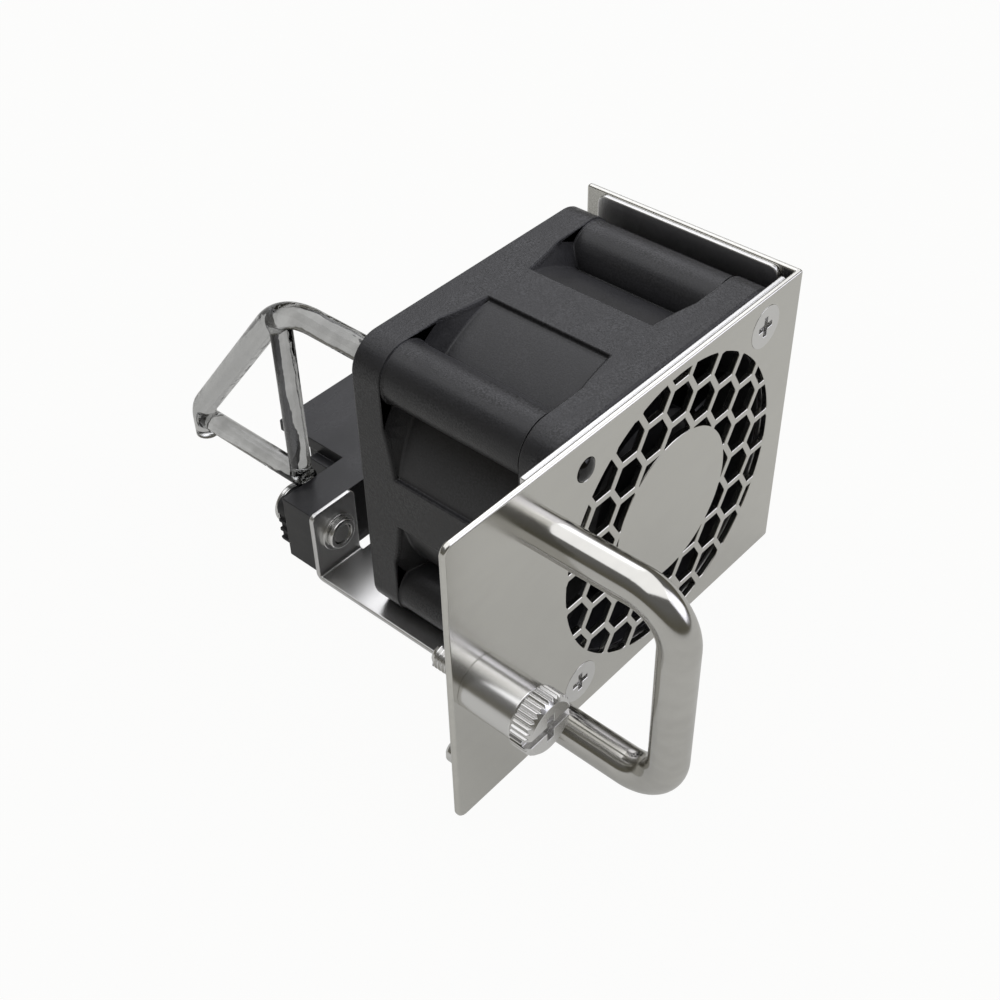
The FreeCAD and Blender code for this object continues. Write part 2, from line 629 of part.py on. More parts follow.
def sketch(owner, name, plane, offset=None):
    """Sketch on one of the body's own origin planes, moved along its normal."""
    sk = owner.newObject("Sketcher::SketchObject", name)
    origin_plane = [f for f in owner.Origin.OriginFeatures if f.Role == plane][0]
    sk.AttachmentSupport = [(origin_plane, "")]
    sk.MapMode = "FlatFace"
    if offset:
        bind(sk, "AttachmentOffset.Base.z", offset)
    return sk


def pin_point(sk, geo, point, u, v, tag):
    """Tie a point of the sketch to two named coordinates."""
    for kind, key, axis in (("DistanceX", u, "u"), ("DistanceY", v, "v")):
        number = sk.addConstraint(Sketcher.Constraint(kind, -1, 1, geo, point, num(key)))
        if key != "zero":
            label = "%s_%s" % (tag, axis)
            sk.renameConstraint(number, label)
            bind(sk, "Constraints." + label, key)


def outline(sk, points):
    """Closed outline of straight lines through named points."""
    count = len(points)
    places = [FreeCAD.Vector(num(u), num(v), 0) for u, v in points]
    first = sk.GeometryCount
    for i in range(count):
        sk.addGeometry(Part.LineSegment(places[i], places[(i + 1) % count]), False)
    for i in range(count):
        nxt = first + (i + 1) % count
        sk.addConstraint(Sketcher.Constraint("Coincident", first + i, 2, nxt, 1))
        u, v = points[i]
        pin_point(sk, first + i, 1, u, v, "p%d" % (first + i))


def circle(sk, u, v, radius):
    """Circle with a named centre and radius."""
    centre = FreeCAD.Vector(num(u), num(v), 0)
    geo = sk.addGeometry(Part.Circle(centre, FreeCAD.Vector(0, 0, 1), num(radius)), False)
    pin_point(sk, geo, 3, u, v, "c%d" % geo)
    number = sk.addConstraint(Sketcher.Constraint("Radius", geo, num(radius)))
    label = "r%d" % geo
    sk.renameConstraint(number, label)
    bind(sk, "Constraints." + label, radius)


def pad(owner, sk, name, length, reverse=False):
    """Pad a sketch by a named length."""
    p = owner.newObject("PartDesign::Pad", name)
    p.Profile = sk
    p.Reversed = reverse
    bind(p, "Length", length)
    sk.Visibility = False
    doc.recompute()
    return p


def pocket(owner, sk, name, length, reverse=False):
    """Pocket a sketch by a named length and make sure that it cuts."""
    doc.recompute()
    before = owner.Shape.Volume
    p = owner.newObject("PartDesign::Pocket", name)
    p.Profile = sk
    p.Reversed = reverse
    bind(p, "Length", length)
    doc.recompute()
    if not owner.Shape.Volume < before:
        raise RuntimeError("%s cuts nothing" % name)
    return p


def revolve(name, points):
    """Body turned about its own Y axis from a half outline of (radius, y) points."""
    b = body(name)
    sk = sketch(b, name + "_half", "XY_Plane")
    outline(sk, points)
    r = b.newObject("PartDesign::Revolution", name + "_turn")
    r.Profile = sk
    r.ReferenceAxis = (sk, ["V_Axis"])
    r.Angle = 360.0
    doc.recompute()
    return b


def edges_where(shape, test):
    """Names of the edges whose middle point and direction pass a test."""
    names = []
    for i, e in enumerate(shape.Edges, 1):
        mid = e.valueAt((e.FirstParameter + e.LastParameter) / 2)
        if test(e, mid):
            names.append("Edge%d" % i)
    return names


def near(a, b):
    """True for two lengths that are the same."""
    return abs(a - b) < 1e-4


def is_line(edge, axis):
    """True for a straight edge along one axis, 0 X, 1 Y or 2 Z."""
    if edge.Curve.TypeId != "Part::GeomLine":
        return False
    d = edge.tangentAt(edge.FirstParameter)
    return abs(abs(d[axis]) - 1) < 1e-6


def round_edges(owner, name, base, radius, test):
    """Fillet the edges of a body's last feature that pass a test."""
    doc.recompute()
    found = edges_where(base.Shape, test)
    if not found:
        raise RuntimeError("%s finds no edge" % name)
    f = owner.newObject("PartDesign::Fillet", name)
    f.Base = (base, found)
    bind(f, "Radius", radius)
    doc.recompute()
    return f


parts = []


def piece(obj, label):
    """List a finished sub-part under its node name."""
    obj.Label = label
    parts.append((obj, label))
    return obj


# Vent: hexagonal cells on a triangular grid, trimmed by a ring

def vent_cutter():
    """Prisms of every cell that shows between the rim and the centre disc."""
    pitch = S["vent_pitch"]
    outer = S["vent_outer_r"]
    inner = S["vent_inner_r"]
    corner = (pitch - S["vent_bar"]) / math.sqrt(3)
    column = pitch * math.sqrt(3) / 2
    depth = FreeCAD.Vector(0, 3 * S["plate_t"], 0)
    start = -S["plate_t"]
    ring = Part.makeCylinder(outer, depth.y, FreeCAD.Vector(0, start, 0), FreeCAD.Vector(0, 1, 0))
    disc = Part.makeCylinder(inner, depth.y, FreeCAD.Vector(0, start, 0), FreeCAD.Vector(0, 1, 0))
    ring = ring.cut(disc)
    cells = []
    reach = int(outer / column) + 1
    for i in range(-reach, reach + 1):
        for k in range(-reach, reach + 1):
            x = i * column
            z = (k + (i % 2) / 2) * pitch
            middle = math.hypot(x, z)
            if middle > outer + corner or middle < inner - corner:
                continue
            corners = []
            for a in range(7):
                turn = math.radians(60 * a)
                corners.append(FreeCAD.Vector(x + corner * math.cos(turn), start, z + corner * math.sin(turn)))
            cell = Part.Face(Part.makePolygon(corners)).extrude(depth).common(ring)
            if cell.Volume > S["vent_bar"] ** 3:
                cells.append(cell)
    return Part.makeCompound(cells)


def make_faceplate():
    """Folded sheet: front, side wall, vent and every hole."""
    b = body("plate_body")
    sk = sketch(b, "plate_section", "XY_Plane", "plate_bottom")
    outline(sk, [("plate_left", "zero"), ("plate_right_reach", "zero"),
                 ("plate_right_reach", "plate_side_depth"), ("plate_inner_right", "plate_side_depth"),
                 ("plate_inner_right", "plate_t"), ("plate_left", "plate_t")])
    fold = pad(b, sk, "plate_fold", "plate_height")
    right, inner, thick = S["plate_right_reach"], S["plate_inner_right"], S["plate_t"]
    outer = round_edges(b, "plate_bend_out", fold, "plate_fold_r",
                        lambda e, m: is_line(e, 2) and near(m.x, right) and near(m.y, 0))
    inside = round_edges(b, "plate_bend_in", outer, "plate_fold_in_r",
                         lambda e, m: is_line(e, 2) and near(m.x, inner) and near(m.y, thick))
    corners = round_edges(b, "plate_corners", inside, "plate_corner_r",
                          lambda e, m: is_line(e, 1) and near(m.x, S["plate_left"]))
    round_edges(b, "plate_side_corners", corners, "plate_side_corner_r",
                lambda e, m: is_line(e, 0) and near(m.y, S["plate_side_depth"]))
    holes = sketch(b, "plate_holes", "XZ_Plane")
    circle(holes, "captive_x", "captive_z", "spigot_r")
    circle(holes, "pipe_x", "pipe_z", "lens_hole_r")
    circle(holes, "handle_x", "handle_top", "handle_thread_r")
    circle(holes, "handle_x", "handle_low", "handle_thread_r")
    circle(holes, "fan_hole_x", "fan_hole_x", "fan_hole_r")
    circle(holes, "fan_hole_low", "fan_hole_low", "fan_hole_r")
    pocket(b, holes, "plate_hole_cut", "plate_t")
    seat = sketch(b, "plate_stud_seat", "XZ_Plane", "-plate_t")
    circle(seat, "stud_x", "stud_z", "stud_neck_r")
    pocket(b, seat, "plate_stud_cut", "stud_seat_depth", reverse=True)
    sinks = []
    for n, key in (("a", "fan_hole_x"), ("b", "fan_hole_low")):
        sinks.append(cone("sink_" + n, "fan_screw_head_r", "fan_hole_r", "zero", "sink_depth", key, key))
    vent = feature("vent_cells", vent_cutter())
    piece(cut("faceplate_cut", b, [vent] + sinks), "faceplate")


def make_tray():
    """Folded tray: floor, front wall with the duct opening, side wall and rear tabs."""
    b = body("tray_body")
    floor = sketch(b, "tray_floor_outline", "XY_Plane", "plate_bottom")
    outline(floor, [("tray_left", "plate_t"), ("tray_front_right", "plate_t"),
                    ("tray_front_right", "relief_front"), ("relief_x", "relief_front"),
                    ("relief_x", "tray_wall_start"), ("tray_right_reach", "tray_wall_start"),
                    ("tray_right_reach", "tray_wall_end"), ("relief_x", "tray_wall_end"),
                    ("relief_x", "relief_rear"), ("tray_left_reach", "relief_rear"),
                    ("tray_left_reach", "tray_depth"), ("tab_right_inner", "tray_depth"),
                    ("tab_right_inner", "floor_rear"), ("tab_left_inner", "floor_rear"),
                    ("tab_left_inner", "tray_depth"), ("tray_left", "tray_depth")])
    pad(b, floor, "tray_floor", "tray_t")
    front = sketch(b, "tray_front_outline", "XZ_Plane", "-plate_t")
    outline(front, [("tray_front_left", "front_low"), ("tray_left", "front_low"),
                    ("tray_left", "plate_bottom"), ("tray_front_right", "plate_bottom"),
                    ("tray_front_right", "tray_front_top"), ("tray_front_left", "tray_front_top")])
    pad(b, front, "tray_front", "tray_t", reverse=True)
    side = sketch(b, "tray_side_outline", "YZ_Plane", "tray_wall_inner")
    outline(side, [("tray_wall_start", "plate_bottom"), ("tray_wall_end", "plate_bottom"),
                   ("tray_wall_end", "tray_wall_top"), ("tray_wall_start", "tray_wall_top")])
    wall = pad(b, side, "tray_side", "tray_t")
    top = S["tray_wall_top"]
    round_edges(b, "tray_side_corners", wall, "tray_wall_corner_r",
                lambda e, m: is_line(e, 0) and near(m.z, top) and m.x > S["tray_wall_inner"])
    tabs = sketch(b, "tray_tab_outline", "XZ_Plane", "-tab_front")
    outline(tabs, [("tray_left", "plate_bottom"), ("tab_left_inner", "plate_bottom"),
                   ("tab_left_inner", "tab_top"), ("tray_left", "tab_top")])
    outline(tabs, [("tab_right_inner", "plate_bottom"), ("tray_left_reach", "plate_bottom"),
                   ("tray_left_reach", "tab_top"), ("tab_right_inner", "tab_top")])
    tab = pad(b, tabs, "tray_tabs", "tray_t", reverse=True)
    tab_z, low, back = S["tab_top"], S["plate_bottom"], S["tray_depth"]
    tab_round = round_edges(b, "tray_tab_corners", tab, "tab_corner_r",
                            lambda e, m: is_line(e, 1) and near(m.z, tab_z))
    inside = S["fan_low"]
    bends = round_edges(b, "tray_bends_in", tab_round, "bend_r",
                        lambda e, m: near(m.z, inside)
                        and ((is_line(e, 0) and (near(m.y, S["fan_front"]) or near(m.y, S["tab_front"])))
                             or (is_line(e, 1) and near(m.x, S["tray_wall_inner"])
                                 and S["tray_wall_start"] < m.y < S["tray_wall_end"])))
    round_edges(b, "tray_bends_out", bends, "tray_bend_r",
                lambda e, m: near(m.z, low)
                and ((is_line(e, 0) and (near(m.y, S["plate_t"]) or near(m.y, back)))
                     or (is_line(e, 1) and near(m.x, S["tray_right_reach"]))))
    holes = sketch(b, "tray_front_holes", "XZ_Plane", "-plate_t")
    circle(holes, "zero", "zero", "fan_bore_r")
    circle(holes, "pipe_x", "pipe_z", "fan_hole_r")
    circle(holes, "fan_hole_x", "fan_hole_x", "sink_clear_r")
    circle(holes, "fan_hole_low", "fan_hole_low", "sink_clear_r")
    circle(holes, "handle_x", "handle_top", "handle_clear_r")
    circle(holes, "handle_x", "handle_low", "handle_clear_r")
    pocket(b, holes, "tray_front_cut", "tray_t")
    tab_holes = sketch(b, "tray_tab_holes", "XZ_Plane", "-tab_front")
    circle(tab_holes, "conn_screw_x", "conn_screw_z", "clinch_hole_r")
    circle(tab_holes, "conn_screw_left", "conn_screw_z", "clinch_hole_r")
    pocket(b, tab_holes, "tray_tab_cut", "tray_t")
    piece(b, "tray")


def make_handle():
    """Bent rod in an upright plane, tapped at both feet."""
    b = body("handle_body")
    path = sketch(b, "handle_path", "YZ_Plane")
    reach, half, bend = S["handle_reach"], S["handle_pitch"] / 2, S["handle_bend_r"]
    v = FreeCAD.Vector
    path.addGeometry(Part.LineSegment(v(0, half, 0), v(bend - reach, half, 0)), False)
    path.addGeometry(Part.ArcOfCircle(Part.Circle(v(bend - reach, half - bend, 0), v(0, 0, 1), bend),
                                      math.pi / 2, math.pi), False)
    path.addGeometry(Part.LineSegment(v(-reach, half - bend, 0), v(-reach, bend - half, 0)), False)
    path.addGeometry(Part.ArcOfCircle(Part.Circle(v(bend - reach, bend - half, 0), v(0, 0, 1), bend),
                                      math.pi, 3 * math.pi / 2), False)
    path.addGeometry(Part.LineSegment(v(bend - reach, -half, 0), v(0, -half, 0)), False)
    add = path.addConstraint
    add(Sketcher.Constraint("Tangent", 0, 2, 1, 1))
    add(Sketcher.Constraint("Tangent", 1, 2, 2, 1))
    add(Sketcher.Constraint("Tangent", 2, 2, 3, 1))
    add(Sketcher.Constraint("Tangent", 3, 2, 4, 1))
    add(Sketcher.Constraint("Horizontal", 0))
    add(Sketcher.Constraint("Vertical", 2))
    add(Sketcher.Constraint("Horizontal", 4))
    pin_point(path, 0, 1, "zero", "handle_top", "top")
    pin_point(path, 4, 2, "zero", "handle_low", "low")
    for geo, tag in ((1, "bend_a"), (3, "bend_b")):
        number = add(Sketcher.Constraint("Radius", geo, bend))
        path.renameConstraint(number, tag)
        bind(path, "Constraints." + tag, "handle_bend_r")
    number = add(Sketcher.Constraint("DistanceX", -1, 1, 2, 1, -reach))
    path.renameConstraint(number, "grip")
    bind(path, "Constraints.grip", "handle_grip")
    section = sketch(b, "handle_section", "XZ_Plane")
    circle(section, "zero", "handle_top", "handle_rod_r")
    doc.recompute()
    sweep = b.newObject("PartDesign::AdditivePipe", "handle_sweep")
    sweep.Profile = section
    sweep.Spine = (path, ["Edge%d" % i for i in range(1, 6)])
    doc.recompute()
    taps = sketch(b, "handle_taps", "XZ_Plane")
    circle(taps, "zero", "handle_top", "handle_thread_r")
    circle(taps, "zero", "handle_low", "handle_thread_r")
    pocket(b, taps, "handle_tap_cut", "handle_thread_depth", reverse=True)
    place(b, "handle_x")
    piece(b, "handle")


def make_handle_screws():
    """Two pan-head screws from behind the faceplate into the handle's feet."""
    out = []
    for n, z in (("a", "handle_top"), ("b", "handle_low")):
        shank = rod("hs_shank_" + n, "handle_thread_r", "handle_screw_tip", "handle_screw_len", "handle_x", z)
        head = rod("hs_head_" + n, "handle_head_r", "plate_t", "handle_screw_head_t", "handle_x", z)
        whole = fuse("hs_" + n, [shank, head])
        socket = rod("hs_socket_" + n, "handle_socket_r", "handle_socket_y", "handle_socket_depth",
                     "handle_x", z)
        out.append(cut("handle_screw_" + n, whole, [socket]))
    group = doc.addObject("Part::Compound", "handle_screw_pair")
    group.Links = out
    piece(group, "handle_screws")


def make_captive_screw():
    """Ferrule, retaining ring, screw and knurled knob on one axis."""
    ferrule = revolve("ferrule_body", [
        ("captive_bore_r", "plate_t"), ("spigot_r", "plate_t"), ("spigot_r", "zero"), ("ferrule_r", "zero"),
        ("ferrule_r", "ferrule_edge_y"), ("ferrule_edge", "ferrule_end"), ("captive_bore_r", "ferrule_end"),
        ("captive_bore_r", "ferrule_lip"), ("chamber_r", "ferrule_lip"), ("chamber_r", "ferrule_floor"),
        ("captive_bore_r", "ferrule_floor")])
    piece(place(ferrule, "captive_x", "zero", "captive_z"), "captive_ferrule")

    screw = revolve("captive_screw_body", [
        ("zero", "neck_front"), ("captive_shank_r", "neck_front"), ("captive_shank_r", "groove_front"),
        ("captive_groove_r", "groove_front"), ("captive_groove_r", "groove_rear"),
        ("captive_shank_r", "groove_rear"), ("captive_shank_r", "captive_thread_end"),
        ("captive_thread_r", "captive_thread_end"), ("captive_thread_r", "captive_tip_y"),
        ("captive_tip_r", "captive_tip_reach"), ("zero", "captive_tip_reach")])
    piece(place(screw, "captive_x", "zero", "captive_z"), "captive_screw")

    ring = revolve("retainer_body", [
        ("retainer_bore_r", "retainer_front"), ("retainer_r", "retainer_front"),
        ("retainer_r", "retainer_rear"), ("retainer_bore_r", "retainer_rear")])
    piece(place(ring, "captive_x", "zero", "captive_z"), "captive_retainer")

    # knob: knurled rim, chamfered front, screwdriver slot and cross
    knob = revolve("knob_body", [
        ("zero", "knob_front"), ("knob_face_r", "knob_front"), ("knob_r", "knob_chamfer_y"),
        ("knob_r", "knob_rear"), ("captive_shank_r", "knob_rear"), ("captive_shank_r", "neck_front"),
        ("zero", "neck_front")])
    tooth = sketch(knob, "knob_tooth", "XZ_Plane", "-knob_rear")
    outline(tooth, [("zero", "tooth_r"), ("tooth_out_half", "tooth_out_r"), ("-tooth_out_half", "tooth_out_r")])
    groove = pocket(knob, tooth, "knob_tooth_cut", "knob_length", reverse=True)
    around = knob.newObject("PartDesign::PolarPattern", "knob_teeth")
    around.Originals = [groove]
    around.Axis = (tooth, ["N_Axis"])
    around.Angle = 360.0
    around.Occurrences = int(S["knob_tooth_count"])
    knob.Tip = around
    slot = sketch(knob, "knob_slot", "XZ_Plane", "-knob_front")
    outline(slot, [("-tooth_out_r", "-slot_half"), ("tooth_out_r", "-slot_half"),
                   ("tooth_out_r", "slot_half"), ("-tooth_out_r", "slot_half")])
    pocket(knob, slot, "knob_slot_cut", "knob_slot_depth")
    cross = sketch(knob, "knob_cross", "XZ_Plane", "-knob_front")
    outline(cross, [("-slot_half", "-cross_half"), ("slot_half", "-cross_half"),
                    ("slot_half", "cross_half"), ("-slot_half", "cross_half")])
    pocket(knob, cross, "knob_cross_cut", "knob_slot_depth")
    piece(place(knob, "captive_x", "zero", "captive_z"), "captive_knob")


def make_stud():
    """Keying stud pressed through the faceplate."""
    stud = revolve("stud_body", [
        ("zero", "stud_seat_y"), ("stud_neck_r", "stud_seat_y"), ("stud_neck_r", "plate_t"),
        ("stud_r", "plate_t"), ("stud_r", "stud_tip_y"), ("stud_tip_r", "stud_reach"),
        ("zero", "stud_reach")])
    piece(place(stud, "stud_x", "zero", "stud_z"), "key_stud")


def make_fan_screws():
    """Two countersunk screws through faceplate and tray into the fan's corners."""
    out = []
    for n, key in (("a", "fan_hole_x"), ("b", "fan_hole_low")):
        one = revolve("fan_screw_body_" + n, [
            ("zero", "zero"), ("fan_screw_head_r", "zero"), ("fan_screw_r", "fan_screw_cone"),
            ("fan_screw_r", "screw_tip_y"), ("zero", "screw_tip_y")])
        recess = sketch(one, "fan_screw_cross_" + n, "XZ_Plane")
        outline(recess, [("cross_lh", "cross_wh"), ("-cross_lh", "cross_wh"),
                         ("-cross_lh", "-cross_wh"), ("cross_lh", "-cross_wh")])
        pocket(one, recess, "fan_screw_arm_a" + n, "fan_screw_cross_depth")
        recess = sketch(one, "fan_screw_cross2_" + n, "XZ_Plane")
        outline(recess, [("cross_wh", "cross_lh"), ("-cross_wh", "cross_lh"),
                         ("-cross_wh", "-cross_lh"), ("cross_wh", "-cross_lh")])
        pocket(one, recess, "fan_screw_arm_b" + n, "fan_screw_cross_depth")
        out.append(place(one, key, "zero", key))
    group = doc.addObject("Part::Compound", "fan_screw_pair")
    group.Links = out
    piece(group, "fan_screws")


def make_light_pipe():
    """Clear rod: lens in the faceplate, leg through the fan, sloping bend, foot, low leg and strut."""
    b = body("pipe_body")
    bend, foot_bend = S["pipe_bend_r"], S["pipe_foot_bend_r"]
    slope = math.radians(S["pipe_slope_deg"])
    first = FreeCAD.Vector(S["pipe_first_turn"], S["pipe_z"], 0)
    foot_y = S["pipe_foot_reach"]
    turn_drop = (foot_y - first.x) * math.tan(slope)
    second = FreeCAD.Vector(foot_y, first.y - turn_drop, 0)
    along = FreeCAD.Vector(math.cos(slope), -math.sin(slope), 0)
    cut_a = first.x - S["pipe_first_end"]
    cut_b = foot_bend * math.tan((math.pi / 2 - slope) / 2)
    path = sketch(b, "pipe_path", "YZ_Plane")
    v = FreeCAD.Vector
    a0, a1 = v(S["pipe_start"], first.y, 0), v(S["pipe_first_end"], first.y, 0)
    b0, b1 = first + along * cut_a, second - along * cut_b
    c0, c1 = v(foot_y, second.y - cut_b, 0), v(foot_y, S["pipe_foot_z"], 0)
    path.addGeometry(Part.LineSegment(a0, a1), False)
    path.addGeometry(Part.ArcOfCircle(Part.Circle(v(a1.x, a1.y - bend, 0), v(0, 0, 1), bend),
                                      math.pi / 2 - slope, math.pi / 2), False)
    path.addGeometry(Part.LineSegment(b0, b1), False)
    path.addGeometry(Part.ArcOfCircle(Part.Circle(v(c0.x - foot_bend, c0.y, 0), v(0, 0, 1), foot_bend),
                                      0, math.pi / 2 - slope), False)
    path.addGeometry(Part.LineSegment(c0, c1), False)
    add = path.addConstraint
    add(Sketcher.Constraint("Tangent", 0, 2, 1, 2))
    add(Sketcher.Constraint("Tangent", 1, 1, 2, 1))
    add(Sketcher.Constraint("Tangent", 2, 2, 3, 2))
    add(Sketcher.Constraint("Tangent", 3, 1, 4, 1))
    add(Sketcher.Constraint("Horizontal", 0))
    add(Sketcher.Constraint("Vertical", 4))
    pin_point(path, 0, 1, "pipe_start", "pipe_z", "start")
    pin_point(path, 4, 2, "pipe_foot_reach", "pipe_foot_z", "foot")
    for geo, tag, key in ((1, "bend_a", "pipe_bend_r"), (3, "bend_b", "pipe_foot_bend_r")):
        number = add(Sketcher.Constraint("Radius", geo, S[key]))
        path.renameConstraint(number, tag)
        bind(path, "Constraints." + tag, key)
    number = add(Sketcher.Constraint("DistanceX", -1, 1, 0, 2, a1.x))
    path.renameConstraint(number, "first_end")
    bind(path, "Constraints.first_end", "pipe_first_end")
    section = sketch(b, "pipe_section", "XZ_Plane", "-pipe_start")
    circle(section, "zero", "pipe_z", "pipe_r")
    doc.recompute()
    sweep = b.newObject("PartDesign::AdditivePipe", "pipe_sweep")
    sweep.Profile = section
    sweep.Spine = (path, ["Edge%d" % i for i in range(1, 6)])
    doc.recompute()
    place(b, "pipe_x")
    # lens: a shallow dome on a stem that ends inside the rod
    axis = FreeCAD.Vector(0, 1, 0)
    rim, proud = S["lens_r"], S["pipe_lens_proud"]
    dome = (rim ** 2 + proud ** 2) / (2 * proud)
    half_way = math.asin(rim / dome) / 2
    crown = v(0, -proud, 0)
    shoulder = v(dome * math.sin(half_way), dome - proud - dome * math.cos(half_way), 0)
    edge, root = v(rim, 0, 0), S["plate_t"] + rim
    lens_half = Part.Wire([Part.Arc(crown, shoulder, edge).toShape(),
                           Part.LineSegment(edge, v(rim, root, 0)).toShape(),
                           Part.LineSegment(v(rim, root, 0), v(0, root, 0)).toShape(),
                           Part.LineSegment(v(0, root, 0), crown).toShape()])
    lens = feature("pipe_lens", Part.Face(lens_half).revolve(v(0, 0, 0), axis, 360))
    lens.Placement = FreeCAD.Placement(v(S["pipe_x"], 0, S["pipe_z"]), FreeCAD.Rotation())
    low_leg = rod("pipe_low_leg", "pipe_low_leg_r", "low_leg_end", "low_leg_length", "pipe_x", "low_leg_z")
    strut = doc.addObject("Part::Cylinder", "pipe_strut")
    bind(strut, "Radius", "pipe_strut_r")
    bind(strut, "Height", "strut_length")
    place(strut, "pipe_x", "pipe_strut_reach", "low_leg_z")
    piece(fuse("light_pipe_fuse", [b, lens, low_leg, strut]), "light_pipe")


def make_fan_frame():
    """Moulded frame: flanges, flared duct, side lands, corner posts, struts and motor base."""
    block_body = body("fan_block")
    face = sketch(block_body, "fan_square", "XZ_Plane", "-fan_front")
    outline(face, [("-fan_half", "-fan_half"), ("fan_half", "-fan_half"),
                   ("fan_half", "fan_half"), ("-fan_half", "fan_half")])
    block = pad(block_body, face, "fan_block_pad", "fan_depth", reverse=True)
    rounded = round_edges(block_body, "fan_block_corners", block, "fan_corner_r", lambda e, m: is_line(e, 1))
    round_edges(block_body, "fan_block_rims", rounded, "fan_edge_r",
                lambda e, m: is_line(e, 0) and near(m.z, -S["fan_half"]) and near(m.y, S["fan_front"]))
    # what is left between the flanges
    duct = rod("duct_outside", "fan_tube_r", "fan_mid_front", "fan_mid_depth")
    flare_a = cone("flare_front", "fan_flare_r", "fan_tube_r", "fan_mid_front", "fan_flare_depth")
    flare_b = cone("flare_rear", "fan_tube_r", "fan_flare_r", "fan_rear_flare", "fan_flare_depth")
    land_x = box("land_x", "fan_low_side", "fan_mid_front", "fan_land_left",
                 "fan_across", "fan_mid_depth", "fan_land_width")
    land_z = box("land_z", "fan_land_left", "fan_mid_front", "fan_low_side",
                 "fan_land_width", "fan_mid_depth", "fan_across")
    posts = []
    for n, x, z in (("a", "fan_hole_x", "fan_hole_x"), ("b", "fan_hole_low", "fan_hole_x"),
                    ("c", "fan_hole_low", "fan_hole_low"), ("d", "fan_hole_x", "fan_hole_low")):
        posts.append(rod("post_" + n, "fan_post_r", "fan_mid_front", "fan_mid_depth", x, z))
    kept = fuse("fan_middle_kept", [duct, flare_a, flare_b, land_x, land_z] + posts)
    slab = box("fan_middle", "fan_low_side", "fan_mid_front", "fan_low_side",
               "fan_across", "fan_mid_depth", "fan_across")
    pockets = cut("fan_pockets", slab, [kept])
    bore = rod("fan_bore", "fan_bore_r", "fan_front", "fan_depth")
    holes = []
    for n, x, z in (("a", "fan_hole_x", "fan_hole_x"), ("b", "fan_hole_low", "fan_hole_x"),
                    ("c", "fan_hole_low", "fan_hole_low"), ("d", "fan_hole_x", "fan_hole_low")):
        holes.append(rod("corner_hole_" + n, "fan_hole_r", "fan_front", "fan_depth", x, z))
    shell = cut("fan_shell", block_body, [pockets, bore] + holes)
    # motor base held by struts
    base = rod("motor_base", "hub_base_r", "hub_base_front", "hub_base_t")
    seat = rod("motor_base_seat", "tube_r", "hub_base_front", "seat_depth")
    strut = box("fan_strut", "strut_inner", "strut_front", "strut_side",
                "strut_reach_len", "fan_strut_depth", "fan_strut_width")
    doc.recompute()
    count = int(S["fan_strut_count"])
    struts = around_axis("fan_struts", strut.Shape, count, 360.0 / count, S["fan_strut_turn_deg"])
    whole = fuse("fan_frame_whole", [shell, base, struts])
    piece(cut("fan_frame_cut", whole, [seat]), "fan_frame")


def blade_section(radius, angle_deg):
    """Closed airfoil outline on the plane Z = radius, chord at an angle to the fan's plane."""
    angle = math.radians(angle_deg)
    chord = S["blade_depth"] / math.sin(angle)
    along = FreeCAD.Vector(math.cos(angle), math.sin(angle), 0)
    across = FreeCAD.Vector(-math.sin(angle), math.cos(angle), 0)
    middle_y = S["rotor_front"] + S["blade_front_gap"] + S["blade_depth"] / 2
    centre = FreeCAD.Vector(0, middle_y, radius)

    def point(t, side):
        """Point at share t of the chord, on the upper (+1) or lower (-1) skin."""
        rise = 4 * S["blade_camber"] * chord * t * (1 - t)
        thick = S["blade_edge_t"] + S["blade_swell"] * math.sqrt(t) * (1 - t)
        return centre + along * (chord * (t - 0.5)) + across * (rise + side * thick / 2)

    steps = [i / 6 for i in range(7)]
    upper = Part.BSplineCurve()
    upper.interpolate([point(t, 1) for t in steps])
    lower = Part.BSplineCurve()
    lower.interpolate([point(t, -1) for t in reversed(steps)])
    tail = Part.LineSegment(point(1, 1), point(1, -1))
    nose = Part.LineSegment(point(0, -1), point(0, 1))
    return Part.Wire([upper.toShape(), tail.toShape(), lower.toShape(), nose.toShape()])


def make_impeller():
    """Hub cup and blades, each blade a loft that twists from root to tip."""
    hub = revolve("impeller_hub", [
        ("zero", "rotor_front"), ("hub_shoulder_r", "rotor_front"), ("rotor_hub_r", "hub_shoulder_y"),
        ("rotor_hub_r", "rotor_rear"), ("rotor_cup_r", "rotor_rear"), ("rotor_cup_r", "rotor_cup_front"),
        ("rotor_boss_r", "rotor_cup_front"), ("rotor_boss_r", "rotor_boss_rear"),
        ("shaft_r", "rotor_boss_rear"), ("shaft_r", "rotor_cup_front"), ("zero", "rotor_cup_front")])
    root, tip = S["rotor_hub_r"] - S["rotor_hub_wall"], S["rotor_tip_r"] + S["rotor_tip_gap"]
    sections = []
    for share in (0, 0.5, 1):
        radius = root + (tip - root) * share
        lean = S["blade_root_angle_deg"] + (S["blade_tip_angle_deg"] - S["blade_root_angle_deg"]) * share
        sections.append(blade_section(radius, lean))
    blade = Part.makeLoft(sections, True, False)
    axis = FreeCAD.Vector(0, 1, 0)
    start = FreeCAD.Vector(0, S["rotor_front"], 0)
    length = S["rotor_hub_length"]
    sweep_space = Part.makeCylinder(S["rotor_tip_r"], length, start, axis)
    cup_space = Part.makeCylinder(S["rotor_hub_r"] - S["rotor_hub_wall"] / 2, length, start, axis)
    blade = blade.common(sweep_space).cut(cup_space)
    count = int(S["blade_count"])
    blades = around_axis("impeller_blades", blade, count, 360.0 / count)
    piece(fuse("impeller_fuse", [hub, blades]), "impeller")


